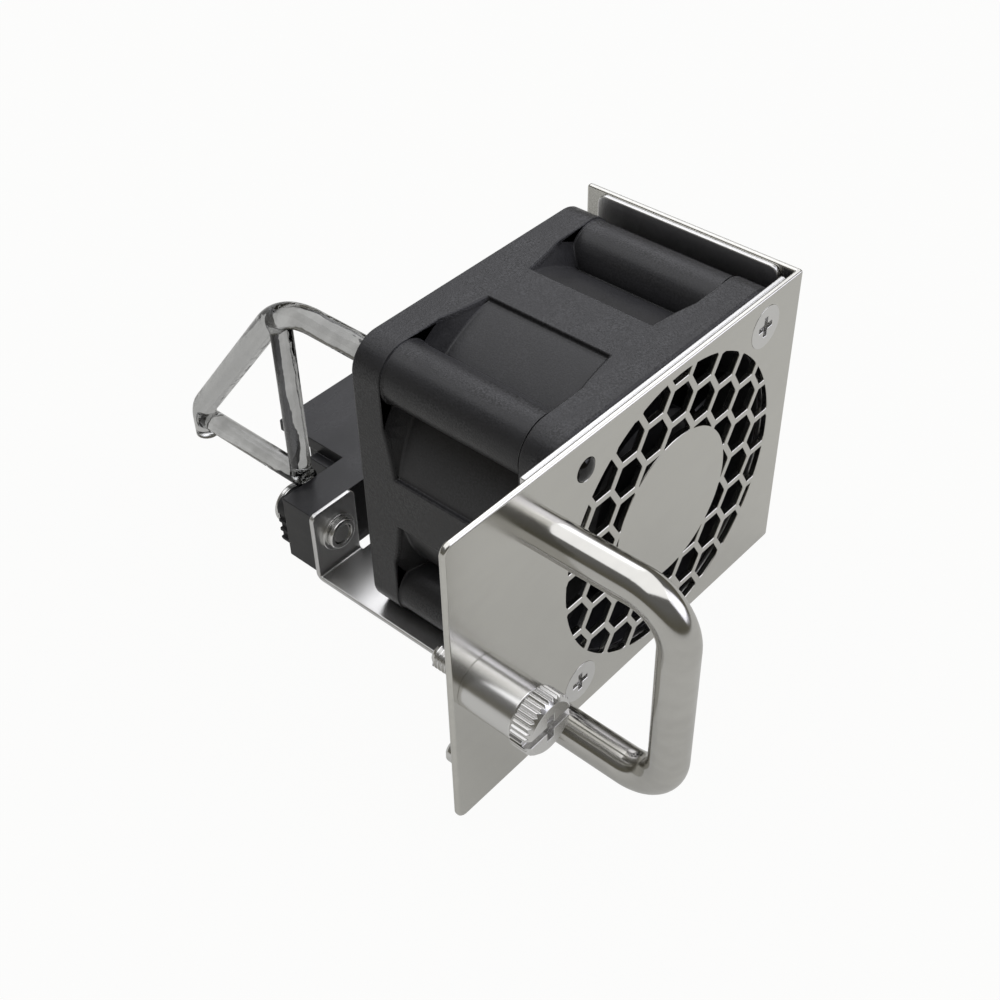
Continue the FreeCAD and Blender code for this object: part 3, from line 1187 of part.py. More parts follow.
def make_rotor_parts():
    """Shaft, yoke, magnet, clip and preload washer."""
    shaft = revolve("shaft_body", [
        ("zero", "shaft_front"), ("shaft_r", "shaft_front"), ("shaft_r", "clip_front"),
        ("clip_groove_r", "clip_front"), ("clip_groove_r", "clip_rear"), ("shaft_r", "clip_rear"),
        ("shaft_r", "shaft_rear"), ("zero", "shaft_rear")])
    piece(shaft, "shaft")
    yoke = revolve("yoke_body", [
        ("yoke_inner_r", "yoke_front"), ("rotor_cup_r", "yoke_front"),
        ("rotor_cup_r", "yoke_rear"), ("yoke_inner_r", "yoke_rear")])
    piece(yoke, "rotor_yoke")
    magnet = revolve("magnet_body", [
        ("magnet_r", "magnet_front"), ("yoke_inner_r", "magnet_front"),
        ("yoke_inner_r", "magnet_rear"), ("magnet_r", "magnet_rear")])
    piece(magnet, "magnet_ring")
    clip = revolve("clip_body", [
        ("clip_groove_r", "clip_front"), ("clip_r", "clip_front"), ("clip_r", "clip_rear"),
        ("clip_groove_r", "clip_rear")])
    piece(clip, "shaft_clip")
    preload = revolve("preload_body", [
        ("preload_in_r", "rotor_boss_rear"), ("preload_out_r", "preload_low"),
        ("preload_out_r", "preload_end"), ("preload_in_r", "preload_mid")])
    piece(preload, "preload_washer")


def make_stator_parts():
    """Bearing tube, two bearings, laminated core, coils and board."""
    tube = revolve("tube_body", [
        ("bearing_r", "tube_front"), ("tube_r", "tube_front"), ("tube_r", "board_rear"),
        ("tube_flange_r", "board_rear"), ("tube_flange_r", "hub_base_front"), ("tube_r", "hub_base_front"),
        ("tube_r", "tube_rear"), ("bearing_r", "tube_rear"), ("bearing_r", "bearing_rear"),
        ("bearing_land_r", "bearing_rear"), ("bearing_land_r", "bearing_front_end"),
        ("bearing_r", "bearing_front_end")])
    piece(tube, "bearing_tube")
    pair = []
    for n, y0, y1 in (("a", "bearing_front", "bearing_front_end"), ("b", "bearing_rear", "bearing_rear_end")):
        pair.append(revolve("bearing_body_" + n, [
            ("bearing_bore_r", y0), ("bearing_r", y0), ("bearing_r", y1), ("bearing_bore_r", y1)]))
    group = doc.addObject("Part::Compound", "bearing_pair")
    group.Links = pair
    piece(group, "bearings")

    rim = cut("stator_rim_ring", rod("stator_rim_out", "stator_r", "stator_front", "stator_length"),
              [rod("stator_rim_in", "stator_rim_r", "stator_front", "stator_length")])
    hub = rod("stator_hub", "stator_hub_r", "stator_front", "stator_length")
    neck = box("stator_neck", "neck_start", "stator_front", "neck_half",
               "neck_length", "stator_length", "stator_neck_width")
    slot = box("stator_slot", "gap_start", "stator_front", "gap_half",
               "gap_length", "stator_length", "stator_slot_width")
    doc.recompute()
    poles = int(S["stator_pole_count"])
    step = 360.0 / poles
    necks = around_axis("stator_necks", neck.Shape, poles, step)
    slots = around_axis("stator_slots", slot.Shape, poles, step, step / 2)
    split_rim = cut("stator_split_rim", rim, [slots])
    core = fuse("stator_whole", [split_rim, hub, necks])
    shaft_way = rod("stator_bore", "tube_r", "stator_front", "stator_length")
    piece(cut("stator_cut", core, [shaft_way]), "stator_core")

    # one coil to a pole: a rounded loop round its neck, kept inside the rim
    half = S["stator_neck_width"] / 2
    inner, outer = S["stator_hub_r"], S["stator_rim_r"]
    around = S["coil_t"]
    gap = S["running_gap"]
    loop = Part.makeBox(2 * (half + around), S["stator_length"] + 2 * around, outer - inner - 2 * gap,
                        FreeCAD.Vector(-half - around, S["stator_front"] - around, inner + gap))
    loop = loop.makeFillet(S["coil_edge_r"], [e for e in loop.Edges if is_line(e, 2)])
    neck = Part.makeBox(2 * half, S["stator_length"], outer, FreeCAD.Vector(-half, S["stator_front"], 0))
    inside_rim = Part.makeCylinder(outer - gap, S["stator_length"] + 2 * around,
                                   FreeCAD.Vector(0, S["stator_front"] - around, 0), FreeCAD.Vector(0, 1, 0))
    loop = loop.common(inside_rim).cut(neck)
    piece(around_axis("stator_coils", loop, poles, step), "windings")

    board = revolve("board_body", [
        ("tube_r", "board_front"), ("board_r", "board_front"),
        ("board_r", "board_rear"), ("tube_r", "board_rear")])
    piece(board, "motor_board")


def make_connector():
    """Docking connector: eared housing, overhanging deck, contacts and its fixings."""
    ear = box("conn_ears", "conn_ear_left", "conn_front", "conn_bottom",
              "ear_width", "conn_ear_depth", "conn_height")
    deck = box("conn_deck", "conn_deck_left", "conn_ear_rear", "conn_deck_low",
               "deck_width", "deck_depth", "conn_deck_t")
    step = box("conn_step", "conn_step_left", "conn_ear_rear", "conn_bottom",
               "step_width", "conn_step_depth", "step_height")
    core = box("conn_core", "conn_core_left", "conn_ear_rear", "conn_bottom",
               "core_width", "core_depth", "step_height")
    whole = fuse("conn_whole", [ear, deck, step, core])
    doc.recompute()
    cuts = [rod("conn_hole_" + n, "conn_screw_hole_r", "conn_front", "conn_ear_depth", x, "conn_screw_z")
            for n, x in (("a", "conn_screw_x"), ("b", "conn_screw_left"))]
    count = int(S["conn_slot_count"])
    middle_z = (S["conn_deck_low"] + S["conn_bottom"]) / 2
    slot_front = S["conn_core_rear"] - S["conn_slot_depth"]
    slots, blades = [], []
    for i in range(count):
        x = (i - (count - 1) / 2) * S["conn_slot_pitch"]
        corner = FreeCAD.Vector(x - S["conn_slot_width"] / 2, slot_front,
                                middle_z - S["conn_slot_height"] / 2)
        slots.append(Part.makeBox(S["conn_slot_width"], S["conn_slot_depth"],
                                  S["conn_slot_height"], corner))
        corner = FreeCAD.Vector(x - S["contact_t"] / 2, slot_front, middle_z - S["contact_height"] / 2)
        blades.append(Part.makeBox(S["contact_t"], S["conn_slot_depth"] - S["contact_t"],
                                   S["contact_height"], corner))
    cuts.append(feature("conn_slots", Part.makeCompound(slots)))
    piece(cut("conn_cut", whole, cuts), "connector_housing")
    piece(feature("conn_blades", Part.makeCompound(blades)), "connector_contacts")

    screws, washers, nuts, pads = [], [], [], []
    for n, x in (("a", "conn_screw_left"), ("b", "conn_screw_x")):
        screw = revolve("conn_screw_body_" + n, [
            ("zero", "conn_screw_tip"), ("conn_tip_r", "conn_screw_tip"),
            ("conn_shank_r", "conn_tip_y"), ("conn_shank_r", "washer_rear"),
            ("conn_head_r", "washer_rear"), ("conn_head_r", "conn_head_edge_y"),
            ("conn_head_edge_r", "conn_head_rear"), ("conn_socket_r", "conn_head_rear"),
            ("conn_socket_r", "conn_socket_y"), ("zero", "conn_socket_y")])
        screws.append(place(screw, x, "zero", "conn_screw_z"))
        washer = revolve("washer_body_" + n, [
            ("washer_in_r", "pad_rear"), ("washer_r", "pad_rear"), ("washer_r", "washer_rear"),
            ("washer_in_r", "washer_rear")])
        washers.append(place(washer, x, "zero", "conn_screw_z"))
        nut = revolve("nut_body_" + n, [
            ("nut_bore_r", "nut_collar_front"), ("nut_mouth_r", "nut_collar_front"),
            ("nut_collar_r", "nut_chamfer_y"), ("nut_collar_r", "nut_groove_front"),
            ("nut_groove_r", "nut_groove_front"), ("nut_groove_r", "nut_front"),
            ("nut_r", "nut_front"), ("nut_r", "tab_front"), ("nut_collar_r", "tab_front"),
            ("nut_collar_r", "tray_depth"), ("nut_bore_r", "tray_depth")])
        nuts.append(place(nut, x, "zero", "conn_screw_z"))
    for label, links in (("connector_screws", screws), ("connector_washers", washers), ("clinch_nuts", nuts)):
        group = doc.addObject("Part::Compound", label + "_pair")
        group.Links = links
        piece(group, label)

    # pads behind the ears, with ribs on the outer side
    high = S["pad_height"]
    wide = S["pad_width"]
    for side in (-1, 1):
        x0 = side * S["conn_screw_x"] - wide / 2
        block = Part.makeBox(wide, S["pad_t"], high, FreeCAD.Vector(x0, S["conn_ear_rear"], S["pad_bottom"]))
        block = block.makeFillet(S["pad_corner_r"], [e for e in block.Edges if is_line(e, 1)])
        middle = FreeCAD.Vector(side * S["conn_screw_x"], S["conn_ear_rear"], S["conn_screw_z"])
        hole = Part.makeCylinder(S["conn_screw_hole_r"], S["pad_t"], middle, FreeCAD.Vector(0, 1, 0))
        block = block.cut(hole)
        outer_x = x0 if side < 0 else x0 + wide - S["pad_rib_depth"]
        z = S["pad_bottom"] + S["pad_corner_r"]
        while z + S["pad_rib_pitch"] <= S["pad_bottom"] + high - S["pad_corner_r"]:
            groove = Part.makeBox(S["pad_rib_depth"], S["pad_t"], S["pad_rib_pitch"] - S["pad_rib_t"],
                                  FreeCAD.Vector(outer_x, S["conn_ear_rear"], z))
            block = block.cut(groove)
            z += S["pad_rib_pitch"]
        pads.append(block)
    piece(feature("conn_pads", Part.makeCompound(pads)), "connector_pads")


make_faceplate()
make_tray()
make_handle()
make_handle_screws()
make_captive_screw()
make_stud()
make_fan_screws()
make_light_pipe()
make_fan_frame()
make_impeller()
make_rotor_parts()
make_stator_parts()
make_connector()
doc.recompute()

# every object must stand, and every sub-part must be sound, before anything is written
for obj in doc.Objects:
    if "Invalid" in obj.State or "Error" in obj.State:
        raise RuntimeError("%s failed: %s" % (obj.Name, obj.State))
for obj, label in parts:
    if obj.Shape.isNull() or not obj.Shape.isValid() or not obj.Shape.Solids:
        raise RuntimeError("%s is not sound" % label)

os.makedirs("parts", exist_ok=True)
for obj, label in parts:
    obj.Shape.exportStep("parts/%s.step" % label)
    b = obj.Shape.BoundBox
    print("%-20s solids %2d volume %9.2f x %.2f %.2f y %.2f %.2f z %.2f %.2f" % (
        label, len(obj.Shape.Solids), obj.Shape.Volume, b.XMin, b.XMax, b.YMin, b.YMax, b.ZMin, b.ZMax))
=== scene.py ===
"""Looks of a hot-swappable fan module: finishes, broken edges, fine detail, floor, light and camera."""
from collections.abc import Callable
from dataclasses import dataclass
from enum import Enum
import logging
import math

import bmesh
import bpy
from mathutils import Matrix, Vector


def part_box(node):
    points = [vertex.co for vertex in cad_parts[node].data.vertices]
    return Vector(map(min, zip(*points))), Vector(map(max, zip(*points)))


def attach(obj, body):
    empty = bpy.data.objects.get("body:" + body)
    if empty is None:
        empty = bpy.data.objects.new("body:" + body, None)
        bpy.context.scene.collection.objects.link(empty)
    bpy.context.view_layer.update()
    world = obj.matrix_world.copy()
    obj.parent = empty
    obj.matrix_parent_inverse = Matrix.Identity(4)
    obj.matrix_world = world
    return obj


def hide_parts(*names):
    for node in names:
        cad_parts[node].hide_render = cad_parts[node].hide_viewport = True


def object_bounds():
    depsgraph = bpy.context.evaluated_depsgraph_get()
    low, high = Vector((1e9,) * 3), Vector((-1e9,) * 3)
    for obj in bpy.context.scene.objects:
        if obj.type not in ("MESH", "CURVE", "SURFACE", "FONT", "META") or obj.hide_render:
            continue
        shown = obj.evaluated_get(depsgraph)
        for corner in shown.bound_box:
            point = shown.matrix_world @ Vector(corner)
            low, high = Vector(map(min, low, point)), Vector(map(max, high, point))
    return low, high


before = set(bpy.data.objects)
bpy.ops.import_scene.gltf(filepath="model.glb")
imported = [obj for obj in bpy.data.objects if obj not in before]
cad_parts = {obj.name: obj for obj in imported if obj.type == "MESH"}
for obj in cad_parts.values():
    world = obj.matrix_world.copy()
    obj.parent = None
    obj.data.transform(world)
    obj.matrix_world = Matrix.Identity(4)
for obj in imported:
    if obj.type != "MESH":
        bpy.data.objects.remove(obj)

CAD_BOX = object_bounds()
MM = 0.001
FULL_TURN = 2 * math.pi
X_AXIS = (1.0, 0.0, 0.0)
Y_AXIS = (0.0, 1.0, 0.0)
LOG = logging.getLogger("fan_module")

Span = tuple[float, float]
Triple = tuple[float, float, float]
Paint = tuple[float, float, float, float]
Socket = bpy.types.NodeSocket
Value = Socket | float | tuple[float, ...]
Edges = list[bmesh.types.BMEdge]
Outline = list[tuple[float, float]]


class Slot(Enum):
    """Material slots of the record."""

    NICKEL_SHEET = "nickel_sheet"
    BRIGHT_SHEET = "bright_sheet"
    POLISHED_ROD = "polished_rod"
    BRIGHT_TURNED = "bright_turned"
    DARK_SCREW = "dark_screw"
    SPRING_STEEL = "spring_steel"
    CLEAR_PLASTIC = "clear_plastic"
    FAN_PLASTIC = "fan_plastic"
    ROTOR_PLASTIC = "rotor_plastic"
    MAGNET = "magnet"
    BRASS_TUBE = "brass_tube"
    BEARING_STEEL = "bearing_steel"
    LAMINATION = "lamination"
    COPPER_WIRE = "copper_wire"
    BOARD = "board"
    CONNECTOR_PLASTIC = "connector_plastic"
    CONTACT_METAL = "contact_metal"
    PAD_RUBBER = "pad_rubber"


class Body(Enum):
    """Bodies that the new pieces ride on."""

    CHASSIS = "chassis"
    CAPTIVE_SCREW = "captive_screw"


@dataclass
class NodeTree:
    """A node tree with short calls for the nodes that the finishes use."""

    tree: bpy.types.NodeTree

    def add(self, kind: str, inputs: dict[str | int, Value] | None = None, **settings: object
            ) -> bpy.types.Node:
        """Add one node.

        Args:
            kind: The node's type name without its ShaderNode prefix, or in full for a group's ends.
            inputs: Values or sockets for its inputs, by name or number.
            **settings: Properties of the node itself, set before its inputs.

        Returns:
            The new node.
        """
        node = self.tree.nodes.new(kind if kind.startswith("Node") else "ShaderNode" + kind)
        for key, value in settings.items():
            setattr(node, key, value)
        for key, value in (inputs or {}).items():
            if isinstance(value, Socket):
                self.tree.links.new(value, node.inputs[key])
            else:
                node.inputs[key].default_value = value
        return node

    def math(self, operation: str, *terms: Value) -> Socket:
        """Result of one arithmetic step on one to three terms."""
        return self.add("Math", dict(enumerate(terms)), operation=operation).outputs[0]

    def blend(self, share: Value, low: Value, high: Value) -> Socket:
        """Colour between two colours, the first where the share is 0 and the second where it is 1."""
        return self.add("Mix", {0: share, 6: low, 7: high}, data_type="RGBA").outputs[2]

    def span(self, value: Value, low: float, high: float, to: Span = (0.0, 1.0)) -> Socket:
        """Value moved from one range to another, and held inside it."""
        return self.add("MapRange", {0: value, 1: low, 2: high, 3: to[0], 4: to[1]}).outputs[0]

    def noise(self, where: Value, size: float, detail: float = 2.0, stretch: Triple = (1, 1, 1)) -> Socket:
        """Noise whose spots have a real size.

        Args:
            where: Object coordinates.
            size: Size of a spot in millimetres.
            detail: Number of finer layers.
            stretch: How much finer it is along each axis.

        Returns:
            The noise's value, about 0.5 on average.
        """
        scaled = self.add("Mapping", {"Vector": where, "Scale": stretch}).outputs[0]
        return self.add("TexNoise", {"Vector": scaled, "Scale": 1 / (size * MM), "Detail": detail}).outputs[0]

    def waves(self, value: Value, length: float) -> Socket:
        """Sine waves along a distance, each with a length in millimetres."""
        return self.math("SINE", self.math("MULTIPLY", value, FULL_TURN / (length * MM)))

    def bump(self, height: Value, strength: float, distance: float) -> Socket:
        """Normal bent by a height, with its distance in millimetres."""
        inputs = {"Height": height, "Strength": strength, "Distance": distance * MM}
        return self.add("Bump", inputs).outputs[0]

    def part(self, place: Value, axis: int) -> Socket:
        """One coordinate of a place, 0 to 2 for X to Z."""
        return self.add("SeparateXYZ", {0: place}).outputs[axis]

    def radius(self, place: Value) -> Socket:
        """Distance from the line through the origin along Y."""
        flat = self.add("CombineXYZ", {0: self.part(place, 0), 1: self.part(place, 2)}).outputs[0]
        return self.add("VectorMath", {0: flat}, operation="LENGTH").outputs["Value"]

    def reach(self, place: Value) -> Socket:
        """Distance from the origin along X or Z, whichever is larger."""
        sides = [self.math("ABSOLUTE", self.part(place, axis)) for axis in (0, 2)]
        return self.math("MAXIMUM", *sides)

    def principled(self, tint: Value, rough: Value, normal: Value, **plain: float) -> bpy.types.Node:
        """Principled shader.

        Args:
            tint: Base colour.
            rough: Roughness.
            normal: Bent normal.
            **plain: Its other inputs, with _ for a space, each the same all over the surface.

        Returns:
            The shader's node.
        """
        inputs = {"Base Color": tint, "Roughness": rough, "Normal": normal}
        inputs.update({name.replace("_", " "): value for name, value in plain.items()})
        return self.add("BsdfPrincipled", inputs)


def new_group(name: str, inputs: dict[str, float | None], outputs: tuple[str, ...]
              ) -> tuple[NodeTree, bpy.types.NodeOutputs]:
    """Start a shared node group.

    Args:
        name: Name of the group.
        inputs: First value of each plain input by name, and None for a vector.
        outputs: Names of its outputs, each a plain value.

    Returns:
        Its tree, and the sockets that its inputs come from.
    """
    group = bpy.data.node_groups.new(name, "ShaderNodeTree")
    for label, value in inputs.items():
        kind = "NodeSocketVector" if value is None else "NodeSocketFloat"
        socket = group.interface.new_socket(label, in_out="INPUT", socket_type=kind)
        if value is not None:
            socket.default_value = value
    for label in outputs:
        group.interface.new_socket(label, in_out="OUTPUT", socket_type="NodeSocketFloat")
    nodes = NodeTree(group)
    return nodes, nodes.add("NodeGroupInput").outputs


@dataclass
class Effects:
    """Surface effects that several finishes share, each built once as a node group, with sizes in mm."""

    pit_size: float = 0.2
    pit_fineness: float = 1.6
    pit_share: float = 0.45
    pit_span: Span = (0.40, 0.62)
    mark_size: float = 9.0
    wipe_size: float = 2.2
    wipe_stretch: Triple = (0.5, 1.0, 1.4)
    mark_span: Span = (0.14, 0.36)
    line_scale: float = 9000.0
    line_roughness: float = 0.6
    line_span: Span = (0.3, 0.7)
    ring_span: Span = (0.32, 0.68)
    patch_size: float = 0.7
    patch_span: Span = (0.38, 0.6)
    wear: float = 0.5
    least_wear: float = 0.25

    def __post_init__(self) -> None:
        """Build every group."""
        self.spark_grain = self._spark_grain()
        self.handling = self._handling()
        self.drawn_lines = self._drawn_lines()
        self.rim_wear = self._rim_wear()
        self.turning = self._turning()

    def _spark_grain(self) -> bpy.types.NodeTree:
        """Pitted texture of a spark-eroded mould.

        Returns:
            The group.
        """
        nodes, start = new_group("spark_grain", {"Place": None, "Size": self.pit_size}, ("Height", "Tint"))
        scale = nodes.math("DIVIDE", 1.0, nodes.math("MULTIPLY", start["Size"], MM))
        fine_scale = nodes.math("MULTIPLY", scale, self.pit_fineness)
        coarse = nodes.add("TexNoise", {"Vector": start["Place"], "Scale": scale, "Detail": 3.0}).outputs[0]
        fine = nodes.add("TexVoronoi", {"Vector": start["Place"], "Scale": fine_scale}).outputs["Distance"]
        height = nodes.math("MULTIPLY_ADD", fine, self.pit_share, coarse)
        nodes.add("NodeGroupOutput", {"Height": height, "Tint": nodes.span(coarse, *self.pit_span)})
        return nodes.tree

    def _handling(self) -> bpy.types.NodeTree:
        """Broad faint marks of handling and cleaning.

        Returns:
            The group.
        """
        nodes, start = new_group("handling_marks", {"Place": None}, ("Marks",))
        broad = nodes.noise(start["Place"], self.mark_size, detail=3.0)
        wiped = nodes.noise(start["Place"], self.wipe_size, detail=4.0, stretch=self.wipe_stretch)
        mixed = nodes.math("MULTIPLY", broad, wiped)
        nodes.add("NodeGroupOutput", {"Marks": nodes.span(mixed, *self.mark_span)})
        return nodes.tree

    def _drawn_lines(self) -> bpy.types.NodeTree:
        """Hair-fine lines along one axis, left by rolling, drawing or polishing.

        Returns:
            The group.
        """
        nodes, start = new_group("drawn_lines", {"Place": None, "Along": None}, ("Lines",))
        scaled = nodes.add("VectorMath", {0: start["Place"], 1: start["Along"]}, operation="MULTIPLY")
        noise = nodes.add("TexNoise", {"Vector": scaled.outputs[0], "Scale": self.line_scale, "Detail": 3.0,
                                       "Roughness": self.line_roughness}).outputs[0]
        nodes.add("NodeGroupOutput", {"Lines": nodes.span(noise, *self.line_span)})
        return nodes.tree

    def _rim_wear(self) -> bpy.types.NodeTree:
        """Patchy mask on the broken edges of a piece.

        Returns:
            The group.
        """
        nodes, start = new_group("rim_wear", {"Place": None, "Amount": self.wear}, ("Mask",))
        rim = nodes.add("Attribute", attribute_name="rim").outputs["Fac"]
        patches = nodes.noise(start["Place"], self.patch_size, detail=3.0)
        worn = nodes.span(patches, *self.patch_span, (self.least_wear, 1.0))
        mask = nodes.math("MULTIPLY", nodes.math("MULTIPLY", rim, worn), start["Amount"])
        nodes.add("NodeGroupOutput", {"Mask": mask})
        return nodes.tree

    def _turning(self) -> bpy.types.NodeTree:
        """Fine rings left by a lathe, about an axis along Y.

        Returns:
            The group.
        """
        nodes, start = new_group("turning_rings", {"Place": None, "Centre": None}, ("Rings",))
        moved = nodes.add("VectorMath", {0: start["Place"], 1: start["Centre"]}, operation="SUBTRACT")
        away, along = nodes.radius(moved.outputs[0]), nodes.part(moved.outputs[0], 1)
        line = nodes.add("CombineXYZ", {0: away, 1: along}).outputs[0]
        noise = nodes.add("TexNoise", {"Vector": line, "Scale": self.line_scale, "Detail": 2.0}).outputs[0]
        nodes.add("NodeGroupOutput", {"Rings": nodes.span(noise, *self.ring_span)})
        return nodes.tree

    def marks(self, nodes: NodeTree, place: Socket) -> Socket:
        """Handling marks on a finish."""
        return nodes.add("Group", {"Place": place}, node_tree=self.handling).outputs[0]

    def worn(self, nodes: NodeTree, place: Socket, amount: float) -> Socket:
        """Wear on the broken edges of a finish."""
        return nodes.add("Group", {"Place": place, "Amount": amount}, node_tree=self.rim_wear).outputs[0]


@dataclass(frozen=True)
class Finish:
    """A finish that becomes one material. Lengths in every finish are in millimetres."""

    slot: Slot
    colour: Triple
    roughness: float

    def shader(self, nodes: NodeTree, effects: Effects, place: Socket) -> bpy.types.Node:
        """Principled shader of the finish, made by each kind of finish."""
        raise NotImplementedError

    def material(self, effects: Effects) -> bpy.types.Material:
        """Build the material.

        Args:
            effects: Shared node groups.

        Returns:
            The material, ready to assign.
        """
        made = bpy.data.materials.new(self.slot.value)
        made.use_nodes = True
        made.node_tree.nodes.clear()
        nodes = NodeTree(made.node_tree)
        shader = self.shader(nodes, effects, nodes.add("TexCoord").outputs["Object"])
        nodes.add("OutputMaterial", {0: shader.outputs[0]})
        return made

    def shade(self, factor: float) -> Paint:
        """The finish's colour times a factor, with full alpha."""
        return (*[min(1.0, part * factor) for part in self.colour], 1.0)

    def uneven(self, nodes: NodeTree, marks: Value, spread: float) -> Socket:
        """The finish's roughness, spread to both sides by marks."""
        return nodes.math("MULTIPLY_ADD", marks, spread, self.roughness - spread / 2)


@dataclass(frozen=True)
class PlatedMetal(Finish):
    """Plated or polished metal with drawn lines or turned rings, handling marks and bright worn rims."""

    along: Triple = (1.0, 1.0, 1.0)
    turned_about: Triple | None = None
    line_height: float = 0.0004
    line_strength: float = 0.25
    line_share: float = 0.7
    spread: float = 0.06
    wear: float = 0.35
    worn_gain: float = 1.3
    mottle: float = 0.04

    def lines(self, nodes: NodeTree, effects: Effects, place: Socket) -> Socket:
        """Lines of the metal's making.

        Args:
            nodes: The material's tree.
            effects: Shared node groups.
            place: Object coordinates.

        Returns:
            Their height, from 0 to 1.
        """
        if self.turned_about is None:
            drawn = {"Place": place, "Along": self.along}
            return nodes.add("Group", drawn, node_tree=effects.drawn_lines).outputs[0]
        turned = {"Place": place, "Centre": tuple(part * MM for part in self.turned_about)}
        return nodes.add("Group", turned, node_tree=effects.turning).outputs[0]

    def shader(self, nodes: NodeTree, effects: Effects, place: Socket) -> bpy.types.Node:
        """Metal shader.

        Args:
            nodes: The material's tree.
            effects: Shared node groups.
            place: Object coordinates.

        Returns:
            The Principled node.
        """
        lines = self.lines(nodes, effects, place)
        marks = effects.marks(nodes, place)
        worn = effects.worn(nodes, place, self.wear)
        rough = nodes.math("MULTIPLY_ADD", lines, self.spread * self.line_share,
                           self.uneven(nodes, marks, self.spread))
        rough = nodes.math("SUBTRACT", rough, nodes.math("MULTIPLY", worn, self.spread))
        tint = nodes.blend(marks, self.shade(1 + self.mottle), self.shade(1 - self.mottle))
        tint = nodes.blend(worn, tint, self.shade(self.worn_gain))
        normal = nodes.bump(lines, self.line_strength, self.line_height)
        return nodes.principled(tint, rough, normal, Metallic=1.0)


@dataclass(frozen=True)
class MouldedPlastic(Finish):
    """Moulded plastic with a spark texture, smoother in the recesses where skin gives the outer reach."""

    grain: float = 0.2
    grain_height: float = 0.012
    skin: float = 0.0
    skin_depth: float = 0.25
    inner_share: float = 0.35
    contrast: float = 0.2
    marked_gain: float = 0.98
    marked_rough: float = 0.08
    wear: float = 0.3
    worn_gain: float = 1.7
    worn_gloss: float = 0.1
    specular: float = 0.36

    def shader(self, nodes: NodeTree, effects: Effects, place: Socket) -> bpy.types.Node:
        """Plastic shader.

        Args:
            nodes: The material's tree.
            effects: Shared node groups.
            place: Object coordinates.

        Returns:
            The Principled node.
        """
        sized = {"Place": place, "Size": self.grain}
        grain = nodes.add("Group", sized, node_tree=effects.spark_grain).outputs
        marks = effects.marks(nodes, place)
        worn = effects.worn(nodes, place, self.wear)
        share: Value = 1.0
        if self.skin > 0:
            share = nodes.span(nodes.reach(place), (self.skin - self.skin_depth) * MM, self.skin * MM,
                               (self.inner_share, 1.0))
        speck = nodes.math("MULTIPLY_ADD", nodes.math("SUBTRACT", grain["Tint"], 0.5), share, 0.5)
        tint = nodes.blend(speck, self.shade(1 - self.contrast), self.shade(1 + self.contrast))
        tint = nodes.blend(marks, tint, self.shade(self.marked_gain))
        tint = nodes.blend(worn, tint, self.shade(self.worn_gain))
        rough = nodes.math("SUBTRACT", self.uneven(nodes, marks, self.marked_rough),
                           nodes.math("MULTIPLY", worn, self.worn_gloss))
        normal = nodes.bump(nodes.math("MULTIPLY", grain["Height"], share), 1.0, self.grain_height)
        return nodes.principled(tint, rough, normal, Specular_IOR_Level=self.specular)


@dataclass(frozen=True)
class ClearPlastic(Finish):
    """Clear moulded plastic with faint flow waves, and painted shade that darkens it towards the front, over
    the lens and where the rod is sunk into the fan.
    """

    # Painted shade: along Y, towards the front, the glass goes down to this share of its colour, over the
    # lens and the rod's start inside the fan.
    painted_shade_from: float = 1.0
    painted_shade_to: float = 12.0
    painted_shade_share: float = 0.1
    wave_size: float = 1.1
    wave_stretch: Triple = (1.0, 0.3, 0.3)
    wave_height: float = 0.12
    streak_deg: float = 51.3
    streak_size: float = 2.2
    streak_stretch: Triple = (1.0, 0.05, 1.0)
    streak_span: Span = (0.38, 0.60)
    streak_share: float = 0.74
    marked_gain: float = 0.94
    marked_rough: float = 0.03
    refraction: float = 1.49

    def shader(self, nodes: NodeTree, effects: Effects, place: Socket) -> bpy.types.Node:
        """Glass-like shader.

        Args:
            nodes: The material's tree.
            effects: Shared node groups.
            place: Object coordinates.

        Returns:
            The Principled node.
        """
        turn = (math.radians(self.streak_deg), 0.0, 0.0)
        laid = nodes.add("Mapping", {"Vector": place, "Rotation": turn}).outputs[0]
        flow = nodes.noise(laid, self.streak_size, stretch=self.streak_stretch)
        streaks = nodes.span(flow, *self.streak_span)
        # Painted shade: the glass is darkened towards the front, over the lens and the first part of the rod
        # inside the fan.
        sunk = nodes.span(nodes.part(place, 1), self.painted_shade_from * MM, self.painted_shade_to * MM)
        marks = effects.marks(nodes, place)
        tint = nodes.blend(marks, self.shade(1.0), self.shade(self.marked_gain))
        tint = nodes.blend(streaks, tint, self.shade(self.streak_share))
        tint = nodes.blend(sunk, self.shade(self.painted_shade_share), tint)
        rough = nodes.math("MULTIPLY_ADD", marks, self.marked_rough, self.roughness)
        waves = nodes.noise(place, self.wave_size, stretch=self.wave_stretch)
        normal = nodes.bump(waves, 1.0, self.wave_height)
        return nodes.principled(tint, rough, normal, IOR=self.refraction, Transmission_Weight=1.0)


@dataclass(frozen=True)
class WoundWire(Finish):
    """Enamelled copper wire laid side by side about the stator's poles, with painted shade in the grooves
    between turns.
    """

    wire: float = 0.16
    wire_height: float = 0.05
    # Painted shade: share of the wire's colour in the grooves between turns.
    painted_groove_shade: float = 0.35
    marked_rough: float = 0.1
    metal: float = 0.8

    def shader(self, nodes: NodeTree, effects: Effects, place: Socket) -> bpy.types.Node:
        """Wire shader.

        Args:
            nodes: The material's tree.
            effects: Shared node groups.
            place: Object coordinates.

        Returns:
            The Principled node.
        """
        turns = nodes.waves(nodes.reach(place), self.wire)
        # Painted shade: the colour darkens into the grooves between turns and is full on their crests.
        tint = nodes.blend(nodes.span(turns, -1.0, 1.0), self.shade(self.painted_groove_shade), self.shade(1.0))
        rough = nodes.math("MULTIPLY_ADD", effects.marks(nodes, place), self.marked_rough, self.roughness)
        return nodes.principled(tint, rough, nodes.bump(turns, 1.0, self.wire_height), Metallic=self.metal)


